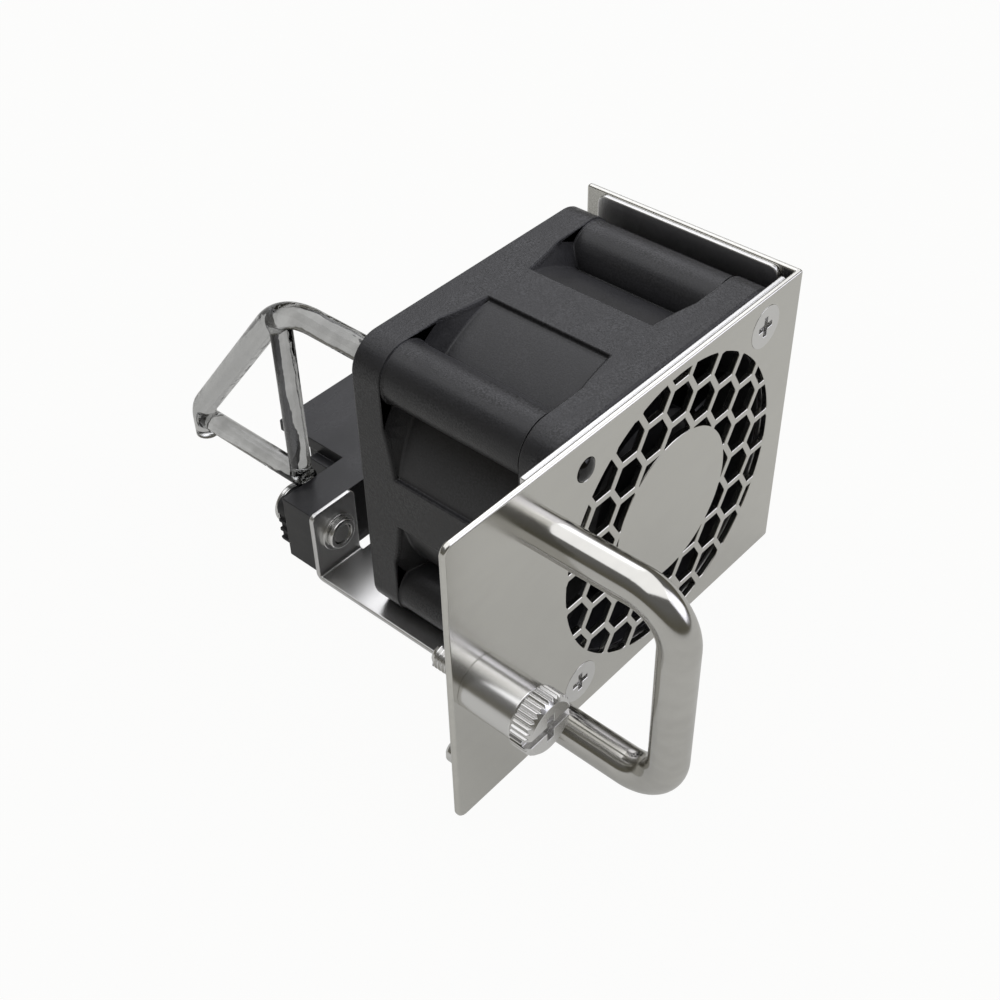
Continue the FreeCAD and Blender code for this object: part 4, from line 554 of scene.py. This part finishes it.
@dataclass(frozen=True)
class StackedSheets(Finish):
    """Stator core of thin sheets stacked along Y."""

    sheet: float = 0.35
    seam_span: Span = (0.75, 0.98)
    seam_share: float = 0.3
    seam_height: float = 0.02
    seam_strength: float = 0.6
    clean_gain: float = 1.05
    marked_gain: float = 0.85
    marked_rough: float = 0.1

    def shader(self, nodes: NodeTree, effects: Effects, place: Socket) -> bpy.types.Node:
        """Laminated metal shader.

        Args:
            nodes: The material's tree.
            effects: Shared node groups.
            place: Object coordinates.

        Returns:
            The Principled node.
        """
        seams = nodes.waves(nodes.part(place, 1), self.sheet)
        marks = effects.marks(nodes, place)
        tint = nodes.blend(marks, self.shade(self.clean_gain), self.shade(self.marked_gain))
        tint = nodes.blend(nodes.span(seams, *self.seam_span), tint, self.shade(self.seam_share))
        rough = nodes.math("MULTIPLY_ADD", marks, self.marked_rough, self.roughness)
        normal = nodes.bump(seams, self.seam_strength, self.seam_height)
        return nodes.principled(tint, rough, normal, Metallic=1.0)


@dataclass(frozen=True)
class MaskedBoard(Finish):
    """Circuit board under solder mask, with ring-shaped copper showing through."""

    trace: float = 1.1
    trace_span: Span = (0.1, 0.25)
    trace_gain: float = 1.6
    trace_height: float = 0.03
    trace_strength: float = 0.5
    marked_gain: float = 0.9
    marked_rough: float = 0.12

    def shader(self, nodes: NodeTree, effects: Effects, place: Socket) -> bpy.types.Node:
        """Board shader.

        Args:
            nodes: The material's tree.
            effects: Shared node groups.
            place: Object coordinates.

        Returns:
            The Principled node.
        """
        copper = nodes.span(nodes.waves(nodes.radius(place), self.trace), *self.trace_span)
        marks = effects.marks(nodes, place)
        tint = nodes.blend(copper, self.shade(1.0), self.shade(self.trace_gain))
        tint = nodes.blend(marks, tint, self.shade(self.marked_gain))
        rough = nodes.math("MULTIPLY_ADD", marks, self.marked_rough, self.roughness)
        return nodes.principled(tint, rough, nodes.bump(copper, self.trace_strength, self.trace_height))


ALONG_X = (0.05, 1.0, 1.0)
ALONG_Y = (1.0, 0.05, 1.0)
ALONG_Z = (1.0, 1.0, 0.05)
CAPTIVE_AXIS = (-32.85, 0.0, -1.0)
FAN_AXIS = (0.0, 0.0, 0.0)
FINISHES: tuple[Finish, ...] = (
    PlatedMetal(Slot.NICKEL_SHEET, (0.65, 0.641, 0.605), 0.20, along=ALONG_X, line_height=0.00008,
                spread=0.015, wear=0.2, mottle=0.012),
    PlatedMetal(Slot.BRIGHT_SHEET, (0.72, 0.717, 0.71), 0.32, along=ALONG_X, line_height=0.00008,
                spread=0.03, wear=0.2, mottle=0.02),
    PlatedMetal(Slot.POLISHED_ROD, (0.60, 0.592, 0.565), 0.13, along=ALONG_Z, line_height=0.0002,
                spread=0.03),
    PlatedMetal(Slot.BRIGHT_TURNED, (0.76, 0.756, 0.745), 0.24, turned_about=CAPTIVE_AXIS,
                line_height=0.000006, spread=0.015, mottle=0.01),
    PlatedMetal(Slot.DARK_SCREW, (0.55, 0.547, 0.535), 0.24, turned_about=FAN_AXIS),
    PlatedMetal(Slot.SPRING_STEEL, (0.5, 0.5, 0.51), 0.22, turned_about=FAN_AXIS),
    ClearPlastic(Slot.CLEAR_PLASTIC, (0.70, 0.703, 0.70), 0.01),
    MouldedPlastic(Slot.FAN_PLASTIC, (0.040, 0.040, 0.043), 0.33, grain=0.24, grain_height=0.042, skin=19.6,
                   contrast=0.6),
    MouldedPlastic(Slot.ROTOR_PLASTIC, (0.02, 0.02, 0.022), 0.36, grain=0.3, grain_height=0.004),
    MouldedPlastic(Slot.MAGNET, (0.07, 0.065, 0.065), 0.6, grain=0.12, grain_height=0.01),
    PlatedMetal(Slot.BRASS_TUBE, (0.72, 0.56, 0.28), 0.25, turned_about=FAN_AXIS),
    PlatedMetal(Slot.BEARING_STEEL, (0.62, 0.62, 0.63), 0.14, turned_about=FAN_AXIS),
    StackedSheets(Slot.LAMINATION, (0.34, 0.34, 0.35), 0.35),
    WoundWire(Slot.COPPER_WIRE, (0.72, 0.27, 0.1), 0.3),
    MaskedBoard(Slot.BOARD, (0.02, 0.12, 0.05), 0.35),
    MouldedPlastic(Slot.CONNECTOR_PLASTIC, (0.026, 0.026, 0.0285), 0.30, grain=0.35, grain_height=0.003),
    PlatedMetal(Slot.CONTACT_METAL, (0.86, 0.64, 0.3), 0.2, along=ALONG_Y),
    MouldedPlastic(Slot.PAD_RUBBER, (0.03, 0.03, 0.032), 0.55, grain=0.1, grain_height=0.006),
)


class Palette:
    """Every material, built once from its finish."""

    def __init__(self) -> None:
        """Build the shared effects and the materials."""
        effects = Effects()
        self.materials = {finish.slot: finish.material(effects) for finish in FINISHES}

    def __getitem__(self, slot: Slot) -> bpy.types.Material:
        """The material of a slot."""
        return self.materials[slot]


def nowhere(place: Vector) -> bool:
    """Test that no place passes."""
    return False


@dataclass
class SubAssembly:
    """Pieces that belong together, with the calls that build and dress them. Lengths are in millimetres."""

    palette: Palette
    edge: float = 0.1
    fine_edge: float = 0.06
    sharp_deg: float = 32.0
    crease_deg: float = 50.0
    flat_deg: float = 0.3
    cad_weld: float = 0.0005
    weld: float = 0.001
    rim_weight: float = 0.0001

    def build(self) -> None:
        """Build and dress every piece of the sub-assembly."""
        raise NotImplementedError

    def dress(self, node: str, slot: Slot) -> None:
        """Give a node of the frame its finish.

        Args:
            node: Name of the node.
            slot: Slot of its finish.
        """
        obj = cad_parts[node]
        if not obj.material_slots:
            obj.data.materials.append(self.palette[slot])
        for place in obj.material_slots:
            place.material = self.palette[slot]
        LOG.info("%s dressed as %s", node, slot.value)

    def finish_piece(self, mesh: bmesh.types.BMesh, name: str, slot: Slot, body: Body, *stands_for: str
                     ) -> bpy.types.Object:
        """Turn a built mesh into a piece with its finish and its body.

        Args:
            mesh: The built mesh, in metres and in place.
            name: Name of the piece.
            slot: Slot of its finish.
            body: Body that it rides on.
            *stands_for: Nodes that it is shown in place of.

        Returns:
            The new piece.
        """
        data = bpy.data.meshes.new(name)
        mesh.to_mesh(data)
        mesh.free()
        data.materials.append(self.palette[slot])
        data.polygons.foreach_set("use_smooth", [True] * len(data.polygons))
        if "rim" in data.attributes:
            self.even_shading(data)
        else:
            data.set_sharp_from_angle(angle=math.radians(self.crease_deg))
        piece = bpy.data.objects.new(name, data)
        bpy.context.scene.collection.objects.link(piece)
        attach(piece, body.value)
        if stands_for:
            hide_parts(*stands_for)
        LOG.info("%s built with %d faces", name, len(data.polygons))
        return piece

    def even_shading(self, data: bpy.types.Mesh) -> None:
        """Shade the main faces by their own direction, so that only the broken edges turn the light.

        Args:
            data: Mesh with the rim attribute on its faces.
        """
        rim = [item.value for item in data.attributes["rim"].data]
        totals = [Vector() for _ in data.vertices]
        for face in data.polygons:
            weight = face.area * (self.rim_weight if rim[face.index] > 0 else 1.0)
            for corner in face.vertices:
                totals[corner] += face.normal * weight
        data.normals_split_custom_set_from_vertices([total.normalized() for total in totals])

    @staticmethod
    def break_edges(mesh: bmesh.types.BMesh, edges: Edges, width: float, segments: int
                    ) -> list[bmesh.types.BMFace]:
        """Break some of a mesh's edges.

        Args:
            mesh: The mesh.
            edges: The edges to break.
            width: Width of a broken edge.
            segments: Steps across it.

        Returns:
            Faces of the broken edges.
        """
        made = bmesh.ops.bevel(mesh, geom=edges, offset=width * MM, offset_type="OFFSET", affect="EDGES",
                               segments=segments, profile=0.5, material=-1)
        return made["faces"]

    def broken_edges(self, node: str, slot: Slot, body: Body, edge: float | None = None, segments: int = 2,
                     fine: Callable[[Vector], bool] = nowhere) -> bpy.types.Object:
        """Show a node by a copy whose sharp edges are broken.

        Args:
            node: Name of the node.
            slot: Slot of its finish.
            body: Body that it rides on.
            edge: Width of the broken edge, or None for the sub-assembly's own.
            segments: Steps across the broken edge.
            fine: Test of an edge's middle, for the places that get the fine edge.

        Returns:
            The new piece.
        """
        mesh = bmesh.new()
        mesh.from_mesh(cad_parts[node].data)
        bmesh.ops.remove_doubles(mesh, verts=mesh.verts, dist=self.cad_weld * MM)
        bmesh.ops.dissolve_limit(mesh, angle_limit=math.radians(self.flat_deg), verts=mesh.verts,
                                 edges=mesh.edges)
        rim = mesh.faces.layers.float.new("rim")
        limit = math.radians(self.sharp_deg)
        width = self.edge if edge is None else edge
        for size, in_fine_place in ((width, False), (self.fine_edge, True)):
            sharp = [item for item in mesh.edges if item.is_manifold and item.calc_face_angle(0.0) > limit
                     and not any(face[rim] > 0 for face in item.link_faces)
                     and fine((item.verts[0].co + item.verts[1].co) / (2 * MM)) == in_fine_place]
            if sharp:
                for face in self.break_edges(mesh, sharp, size, segments):
                    face[rim] = 1.0
        return self.finish_piece(mesh, node + "_finished", slot, body, node)

    @staticmethod
    def revolve(mesh: bmesh.types.BMesh, centre: Vector, outline: Outline, steps: int) -> None:
        """Turn an outline into a round body about a line along Y.

        Args:
            mesh: Mesh that gets the body.
            centre: A place on the line, in metres.
            outline: Radius and place along the line of each of its corners, in metres.
            steps: Steps round the body.
        """
        rows = [mesh.verts.new(centre + Vector((radius, along, 0.0))) for radius, along in outline]
        edges = [mesh.edges.new(pair) for pair in zip(rows, rows[1:])]
        bmesh.ops.spin(mesh, geom=rows + edges, cent=centre, axis=Y_AXIS, angle=FULL_TURN, steps=steps,
                       use_merge=True, use_duplicate=False)

    def close_up(self, mesh: bmesh.types.BMesh) -> None:
        """Merge a mesh's doubled corners, and point its faces outwards."""
        bmesh.ops.remove_doubles(mesh, verts=mesh.verts, dist=self.weld * MM)
        bmesh.ops.recalc_face_normals(mesh, faces=mesh.faces)


@dataclass
class SheetMetal(SubAssembly):
    """Faceplate and tray, folded from plated sheet."""

    edge: float = 0.3
    fine_edge: float = 0.13
    tray_edge: float = 0.22
    segments: int = 3
    hole_reach: float = 1.0

    def build(self) -> None:
        """Show both sheets with broken edges."""
        self.broken_edges("faceplate", Slot.NICKEL_SHEET, Body.CHASSIS, segments=self.segments,
                          fine=self.inside("faceplate"))
        self.broken_edges("tray", Slot.BRIGHT_SHEET, Body.CHASSIS, edge=self.tray_edge,
                          segments=self.segments)

    def inside(self, node: str) -> Callable[[Vector], bool]:
        """Test for places on a sheet that are away from its outline, where only holes have edges.

        Args:
            node: Name of the sheet's node.

        Returns:
            The test, of a place in millimetres.
        """
        low, high = (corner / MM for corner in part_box(node))

        def away(place: Vector) -> bool:
            """Whether the place is inside the sheet's box on two axes or more."""
            gaps = [min(place[axis] - low[axis], high[axis] - place[axis]) for axis in range(3)]
            return sum(gap > self.hole_reach for gap in gaps) >= 2

        return away


@dataclass
class FrontHardware(SubAssembly):
    """Handle, captive screw, keying stud and screws."""

    edge: float = 0.07
    knob_edge: float = 0.05
    head_edge: float = 0.09
    tip_length: float = 0.3
    tip_inset: float = 0.2
    shank_steps: int = 48
    thread_pitch: float = 0.5
    thread_depth: float = 0.26
    thread_start: float = 1.7
    thread_end: float = 5.4
    root_share: float = 0.46
    root_sunk: float = 0.05
    half_crest: float = 0.06
    steps_per_turn: int = 28

    def build(self) -> None:
        """Build and dress every piece."""
        self.dress("handle", Slot.POLISHED_ROD)
        self.broken_edges("handle_screws", Slot.DARK_SCREW, Body.CHASSIS)
        self.broken_edges("captive_ferrule", Slot.BRIGHT_TURNED, Body.CHASSIS)
        self.broken_edges("captive_knob", Slot.BRIGHT_TURNED, Body.CAPTIVE_SCREW, edge=self.knob_edge)
        self.dress("captive_retainer", Slot.SPRING_STEEL)
        self.broken_edges("key_stud", Slot.BRIGHT_TURNED, Body.CHASSIS)
        self.broken_edges("fan_screws", Slot.BRIGHT_TURNED, Body.CHASSIS, edge=self.head_edge)
        self.threaded_screw()

    def threaded_screw(self) -> bpy.types.Object:
        """Captive screw with its thread cut as a helical ridge.

        Returns:
            The new piece.
        """
        low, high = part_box("captive_screw")
        centre = Vector(((low.x + high.x) / 2, 0.0, (low.z + high.z) / 2))
        outer = (high.x - low.x) / 2
        root = outer - self.thread_depth * MM
        mesh = bmesh.new()
        self.revolve(mesh, centre, [(0.0, low.y), (root, low.y), (root, high.y - self.tip_length * MM),
                                    (root - self.tip_inset * MM, high.y), (0.0, high.y)], self.shank_steps)
        start = self.thread_start * MM
        run = self.thread_end * MM - start
        turns = run / (self.thread_pitch * MM)
        steps = round(turns * self.steps_per_turn)
        sunk = root - self.root_sunk * MM
        half_root = self.thread_pitch * MM * self.root_share
        half_crest = self.half_crest * MM
        tooth = [(sunk, -half_root), (outer, -half_crest), (outer, half_crest), (sunk, half_root)]
        corners = [mesh.verts.new(centre + Vector((radius, start + y, 0.0))) for radius, y in tooth]
        bmesh.ops.spin(mesh, geom=[mesh.faces.new(corners)], cent=centre, axis=Y_AXIS,
                       angle=FULL_TURN * turns, dvec=(0.0, run / steps, 0.0), steps=steps,
                       use_duplicate=False)
        self.close_up(mesh)
        return self.finish_piece(mesh, "captive_screw_threaded", Slot.BRIGHT_TURNED, Body.CAPTIVE_SCREW,
                                 "captive_screw")


@dataclass
class FanUnit(SubAssembly):
    """Moulded frame, impeller and motor."""

    edge: float = 0.22

    def build(self) -> None:
        """Build and dress every piece."""
        self.broken_edges("fan_frame", Slot.FAN_PLASTIC, Body.CHASSIS)
        for node, slot in (("impeller", Slot.ROTOR_PLASTIC), ("shaft", Slot.SPRING_STEEL),
                           ("rotor_yoke", Slot.SPRING_STEEL), ("magnet_ring", Slot.MAGNET),
                           ("shaft_clip", Slot.SPRING_STEEL), ("preload_washer", Slot.SPRING_STEEL),
                           ("bearing_tube", Slot.BRASS_TUBE), ("bearings", Slot.BEARING_STEEL),
                           ("stator_core", Slot.LAMINATION), ("windings", Slot.COPPER_WIRE),
                           ("motor_board", Slot.BOARD)):
            self.dress(node, slot)


@dataclass
class LightPipe(SubAssembly):
    """Clear rod in straight and bent lengths, from the faceplate's lens to the foot."""

    side: float = -16.0
    height: float = 16.0
    radius: float = 1.595
    lens_radius: float = 1.375
    lens_proud: float = 0.5
    plate: float = 0.8
    first_end: float = 39.658
    bend_radius: float = 11.0
    slope_deg: float = 51.3
    foot_reach: float = 64.77
    foot_bend_radius: float = 5.0
    foot_bend_height: float = -10.508
    foot_height: float = -13.1
    low_leg_height: float = -10.35
    low_leg_start: float = 44.55
    low_leg_radius: float = 1.45
    strut_place: float = 45.8
    strut_top: float = 13.43
    strut_radius: float = 1.4
    joint: float = 0.02
    end_edge: float = 0.06
    end_segments: int = 2
    facets: int = 64
    bend_steps: int = 20

    def build(self) -> None:
        """Build the lens, the bent rod, the low leg and the strut."""
        self.lens()
        self.main_rod()
        self.rod("pipe_low_leg", self.at(self.low_leg_start, self.low_leg_height),
                 self.at(self.foot_reach, self.low_leg_height), self.low_leg_radius)
        self.rod("pipe_strut", self.at(self.strut_place, self.low_leg_height),
                 self.at(self.strut_place, self.strut_top), self.strut_radius)

    def at(self, along: float, up: float) -> Vector:
        """Point in the rod's plane."""
        return Vector((self.side, along, up))

    def closed(self, mesh: bmesh.types.BMesh, name: str) -> bpy.types.Object:
        """Turn a closed length into a piece with slightly broken ends.

        Args:
            mesh: The built length, in metres.
            name: Name of the piece.

        Returns:
            The new piece.
        """
        bmesh.ops.recalc_face_normals(mesh, faces=mesh.faces)
        rims = [edge for edge in mesh.edges
                if any(len(face.verts) == self.facets for face in edge.link_faces)]
        self.break_edges(mesh, rims, self.end_edge, self.end_segments)
        return self.finish_piece(mesh, name, Slot.CLEAR_PLASTIC, Body.CHASSIS, "light_pipe")

    def rod(self, name: str, start: Vector, end: Vector, radius: float) -> bpy.types.Object:
        """Straight length.

        Args:
            name: Name of the piece.
            start: Middle of one end.
            end: Middle of the other end.
            radius: Radius of the rod.

        Returns:
            The new piece.
        """
        run = (end - start) * MM
        turn = run.to_track_quat("Z", "X").to_matrix().to_4x4()
        mesh = bmesh.new()
        bmesh.ops.create_cone(mesh, cap_ends=True, segments=self.facets, radius1=radius * MM,
                              radius2=radius * MM, depth=run.length,
                              matrix=Matrix.Translation((start + end) * MM / 2) @ turn)
        return self.closed(mesh, name)

    def main_rod(self) -> bpy.types.Object:
        """Top leg, sloping leg and foot in one bent length.

        Returns:
            The new piece.
        """
        slope = math.radians(self.slope_deg)
        first = self.at(self.first_end, self.height - self.bend_radius) * MM
        second = self.at(self.foot_reach - self.foot_bend_radius, self.foot_bend_height) * MM
        out = Vector((0.0, math.sin(slope), math.cos(slope)))
        run = second + out * self.foot_bend_radius * MM - first - out * self.bend_radius * MM
        start = self.at(self.plate + self.lens_radius, self.height) * MM
        top = Vector((0.0, self.first_end * MM - start.y, 0.0))
        foot = Vector((0.0, 0.0, (self.foot_height - self.foot_bend_height) * MM))
        mesh = bmesh.new()
        bmesh.ops.create_circle(mesh, segments=self.facets, radius=self.radius * MM,
                                matrix=Matrix.Translation(start) @ Matrix.Rotation(math.pi / 2, 4, "X"))
        ring = self.drawn(mesh, mesh.edges[:], top)
        ring = self.bent(mesh, ring, first, self.slope_deg)
        ring = self.drawn(mesh, ring, run)
        ring = self.bent(mesh, ring, second, 90.0 - self.slope_deg)
        self.drawn(mesh, ring, foot)
        bmesh.ops.holes_fill(mesh, edges=[edge for edge in mesh.edges if edge.is_boundary], sides=self.facets)
        return self.closed(mesh, "pipe_rod")

    @staticmethod
    def drawn(mesh: bmesh.types.BMesh, ring: Edges, run: Vector) -> Edges:
        """Carry an open end straight on.

        Args:
            mesh: The rod so far.
            ring: Edges of the open end.
            run: How far and where to, in metres.

        Returns:
            Edges of the new open end.
        """
        made = bmesh.ops.extrude_edge_only(mesh, edges=ring)["geom"]
        corners = [item for item in made if isinstance(item, bmesh.types.BMVert)]
        bmesh.ops.translate(mesh, verts=corners, vec=run)
        return [item for item in made if isinstance(item, bmesh.types.BMEdge) and item.is_boundary]

    def bent(self, mesh: bmesh.types.BMesh, ring: Edges, centre: Vector, turn_deg: float) -> Edges:
        """Carry an open end round a bend.

        Args:
            mesh: The rod so far.
            ring: Edges of the open end.
            centre: Centre of the bend, in metres.
            turn_deg: Turn downwards in degrees.

        Returns:
            Edges of the new open end.
        """
        made = bmesh.ops.spin(mesh, geom=ring, cent=centre, axis=X_AXIS, angle=math.radians(-turn_deg),
                              steps=self.bend_steps, use_duplicate=False)["geom_last"]
        return [item for item in made if isinstance(item, bmesh.types.BMEdge)]

    def lens(self) -> bpy.types.Object:
        """Shallow dome on a stem, in the faceplate's hole.

        Returns:
            The new piece.
        """
        dome = (self.lens_radius ** 2 + self.lens_proud ** 2) / (2 * self.lens_proud)
        half = math.asin(self.lens_radius / dome)
        angles = [half * step / self.bend_steps for step in range(self.bend_steps + 1)]
        root = self.plate + self.lens_radius - self.joint
        outline = [(dome * math.sin(angle), dome - self.lens_proud - dome * math.cos(angle))
                   for angle in angles]
        outline += [(self.lens_radius, root), (0.0, root)]
        mesh = bmesh.new()
        self.revolve(mesh, self.at(0.0, self.height) * MM,
                     [(radius * MM, along * MM) for radius, along in outline], self.facets)
        self.close_up(mesh)
        return self.finish_piece(mesh, "pipe_lens", Slot.CLEAR_PLASTIC, Body.CHASSIS, "light_pipe")


@dataclass
class DockingConnector(SubAssembly):
    """Housing, contacts, screws, washers, pads and clinch nuts."""

    housing_edge: float = 0.14

    def build(self) -> None:
        """Build and dress every piece."""
        self.broken_edges("connector_housing", Slot.CONNECTOR_PLASTIC, Body.CHASSIS, edge=self.housing_edge)
        self.dress("connector_contacts", Slot.CONTACT_METAL)
        self.broken_edges("connector_screws", Slot.BRIGHT_TURNED, Body.CHASSIS)
        self.broken_edges("connector_washers", Slot.BRIGHT_TURNED, Body.CHASSIS)
        self.broken_edges("connector_pads", Slot.PAD_RUBBER, Body.CHASSIS)
        self.broken_edges("clinch_nuts", Slot.BRIGHT_TURNED, Body.CHASSIS)


@dataclass(frozen=True)
class Lamp:
    """A soft square lamp that faces the module, in metres and watts."""

    name: str
    place: Triple
    size: float
    power: float
    colour: Triple

    def build(self) -> bpy.types.Object:
        """Hang the lamp.

        Returns:
            The lamp.
        """
        data = bpy.data.lights.new(self.name, "AREA")
        data.size = self.size
        data.energy = self.power
        data.color = self.colour
        lamp = bpy.data.objects.new(self.name, data)
        lamp.location = self.place
        lamp.rotation_euler = (-Vector(self.place)).to_track_quat("-Z", "Y").to_euler()
        bpy.context.scene.collection.objects.link(lamp)
        return lamp


@dataclass(frozen=True)
class Panel:
    """A soft round patch on the studio's wall, for metal to mirror."""

    middle: Triple
    outer_deg: float
    inner_deg: float
    colour: Paint

    def build(self, nodes: NodeTree, towards: Socket, room: Socket) -> Socket:
        """Lay the patch over the room.

        Args:
            nodes: The world's tree.
            towards: Direction that is looked in.
            room: Colour of the room without the patch.

        Returns:
            Colour of the room with it.
        """
        aim = tuple(Vector(self.middle).normalized())
        near = nodes.add("VectorMath", {0: towards, 1: aim}, operation="DOT_PRODUCT").outputs["Value"]
        outer, inner = (math.cos(math.radians(angle)) for angle in (self.outer_deg, self.inner_deg))
        share = nodes.add("MapRange", {0: near, 1: outer, 2: inner}, interpolation_type="SMOOTHSTEP")
        return nodes.blend(share.outputs[0], room, self.colour)


@dataclass
class Studio:
    """Floor, world, lamps and camera, in metres."""

    image_size: int = 1000
    focal_px: float = 1463.7
    sensor_mm: float = 36.0
    near_clip: float = 0.005
    camera_place: Triple = (-0.103839, -0.067869, 0.111686)
    camera_right: Triple = (0.6598, -0.7513, -0.0178)
    camera_up: Triple = (0.511, 0.4312, 0.7436)
    camera_forward: Triple = (0.551, 0.4997, -0.6684)
    floor_size: float = 6.0
    floor_gap: float = 0.0002
    paper_dark: Paint = (0.44, 0.435, 0.405, 1.0)
    paper_pale: Paint = (0.46, 0.455, 0.425, 1.0)
    paper_fleck: float = 4.0
    paper_span: Span = (0.35, 0.65)
    paper_rough: float = 0.9
    paper_specular: float = 0.1
    backdrop: Paint = (1.0, 1.0, 0.995, 1.0)
    floor_share: float = 0.96
    floor_mirrored: float = 0.36
    room_share: float = 1.0
    room_mirrored: float = 0.06
    ground: Paint = (0.5, 0.5, 0.49, 1.0)
    walls: Paint = (0.060, 0.052, 0.027, 1.0)
    ceiling: Paint = (0.09, 0.088, 0.085, 1.0)
    wall_foot: Span = (0.0, 0.05)
    wall_top: Span = (0.15, 0.6)
    lamps: tuple[Lamp, ...] = (
        Lamp("top", (0.10, 0.17, 0.96), 1.6, 10.0, (0.98, 0.982, 1.0)),
        Lamp("front", (0.55, -0.7, 0.6), 0.8, 2.0, (0.93, 0.935, 1.0)),
    )
    panels: tuple[Panel, ...] = (
        Panel((0.61, 0.52, 0.60), 17.0, 6.0, (1.35, 1.36, 1.43, 1.0)),
        Panel((0.55, -0.67, 0.50), 28.0, 8.0, (0.9, 0.9, 1.05, 1.0)),
    )

    def build(self) -> None:
        """Set the whole stage."""
        self.floor()
        self.world()
        for lamp in self.lamps:
            lamp.build()
        self.camera()
        bpy.context.scene.view_settings.view_transform = "Standard"
        LOG.info("stage set")

    @staticmethod
    def white_seen(nodes: NodeTree, to_camera: float, mirrored: float) -> Socket:
        """Share of the white backdrop that a ray meets, with none for the light that falls on the module.

        Args:
            nodes: Tree of the backdrop's material or world.
            to_camera: Share for a ray straight from the camera.
            mirrored: Share for a ray by way of metal or glass.

        Returns:
            The share's socket.
        """
        path = nodes.add("LightPath").outputs
        turned = nodes.math("MAXIMUM", path["Is Glossy Ray"], path["Is Transmission Ray"])
        return nodes.math("MAXIMUM", nodes.math("MULTIPLY", path["Is Camera Ray"], to_camera),
                          nodes.math("MULTIPLY", turned, mirrored))

    def paper(self) -> bpy.types.Material:
        """Matt paper of the floor, which is lifted towards white and keeps the soft shadow.

        Returns:
            The material.
        """
        made = bpy.data.materials.new("floor_paper")
        made.use_nodes = True
        made.node_tree.nodes.clear()
        nodes = NodeTree(made.node_tree)
        flecks = nodes.noise(nodes.add("TexCoord").outputs["Object"], self.paper_fleck, detail=3.0)
        tint = nodes.blend(nodes.span(flecks, *self.paper_span), self.paper_dark, self.paper_pale)
        matt = nodes.add("BsdfPrincipled", {"Base Color": tint, "Roughness": self.paper_rough,
                                            "Specular IOR Level": self.paper_specular}).outputs[0]
        white = nodes.add("Emission", {"Color": self.backdrop, "Strength": 1.0}).outputs[0]
        seen = self.white_seen(nodes, self.floor_share, self.floor_mirrored)
        nodes.add("OutputMaterial", {0: nodes.add("MixShader", {0: seen, 1: matt, 2: white}).outputs[0]})
        return made

    def floor(self) -> bpy.types.Object:
        """Plain floor just under the module.

        Returns:
            The floor.
        """
        low, _ = CAD_BOX
        mesh = bmesh.new()
        bmesh.ops.create_grid(mesh, x_segments=1, y_segments=1, size=self.floor_size / 2)
        bmesh.ops.translate(mesh, verts=mesh.verts, vec=(0.0, 0.0, low.z - self.floor_gap))
        data = bpy.data.meshes.new("floor")
        mesh.to_mesh(data)
        mesh.free()
        data.materials.append(self.paper())
        floor = bpy.data.objects.new("floor", data)
        bpy.context.scene.collection.objects.link(floor)
        return floor

    def world(self) -> None:
        """Plain studio room with darker walls and soft panels, so that metal has something to mirror."""
        world = bpy.data.worlds.new("studio")
        world.use_nodes = True
        world.node_tree.nodes.clear()
        nodes = NodeTree(world.node_tree)
        towards = nodes.add("TexCoord").outputs["Generated"]
        height = nodes.part(towards, 2)
        room = nodes.blend(nodes.span(height, *self.wall_foot), self.ground, self.walls)
        room = nodes.blend(nodes.span(height, *self.wall_top), room, self.ceiling)
        for panel in self.panels:
            room = panel.build(nodes, towards, room)
        seen = self.white_seen(nodes, self.room_share, self.room_mirrored)
        sky = nodes.add("Background", {"Color": nodes.blend(seen, room, self.backdrop), "Strength": 1.0})
        nodes.add("OutputWorld", {0: sky.outputs[0]})
        bpy.context.scene.world = world

    def camera(self) -> None:
        """Camera at the photograph's viewing angle and distance."""
        data = bpy.data.cameras.new("camera")
        data.sensor_width = self.sensor_mm
        data.lens = self.focal_px / self.image_size * self.sensor_mm
        data.clip_start = self.near_clip
        right, up, forward = Vector(self.camera_right), Vector(self.camera_up), Vector(self.camera_forward)
        turn = Matrix((right, up, -forward)).transposed()
        camera = bpy.data.objects.new("camera", data)
        camera.matrix_world = Matrix.Translation(self.camera_place) @ turn.to_4x4()
        bpy.context.scene.collection.objects.link(camera)
        bpy.context.scene.camera = camera


def main() -> None:
    """Build every sub-assembly and the stage, in order."""
    logging.basicConfig(level=logging.INFO, format="%(name)s: %(message)s")
    palette = Palette()
    for assembly in (SheetMetal(palette), FrontHardware(palette), FanUnit(palette), LightPipe(palette),
                     DockingConnector(palette)):
        assembly.build()
    Studio().build()


if __name__ == "__main__":
    main()
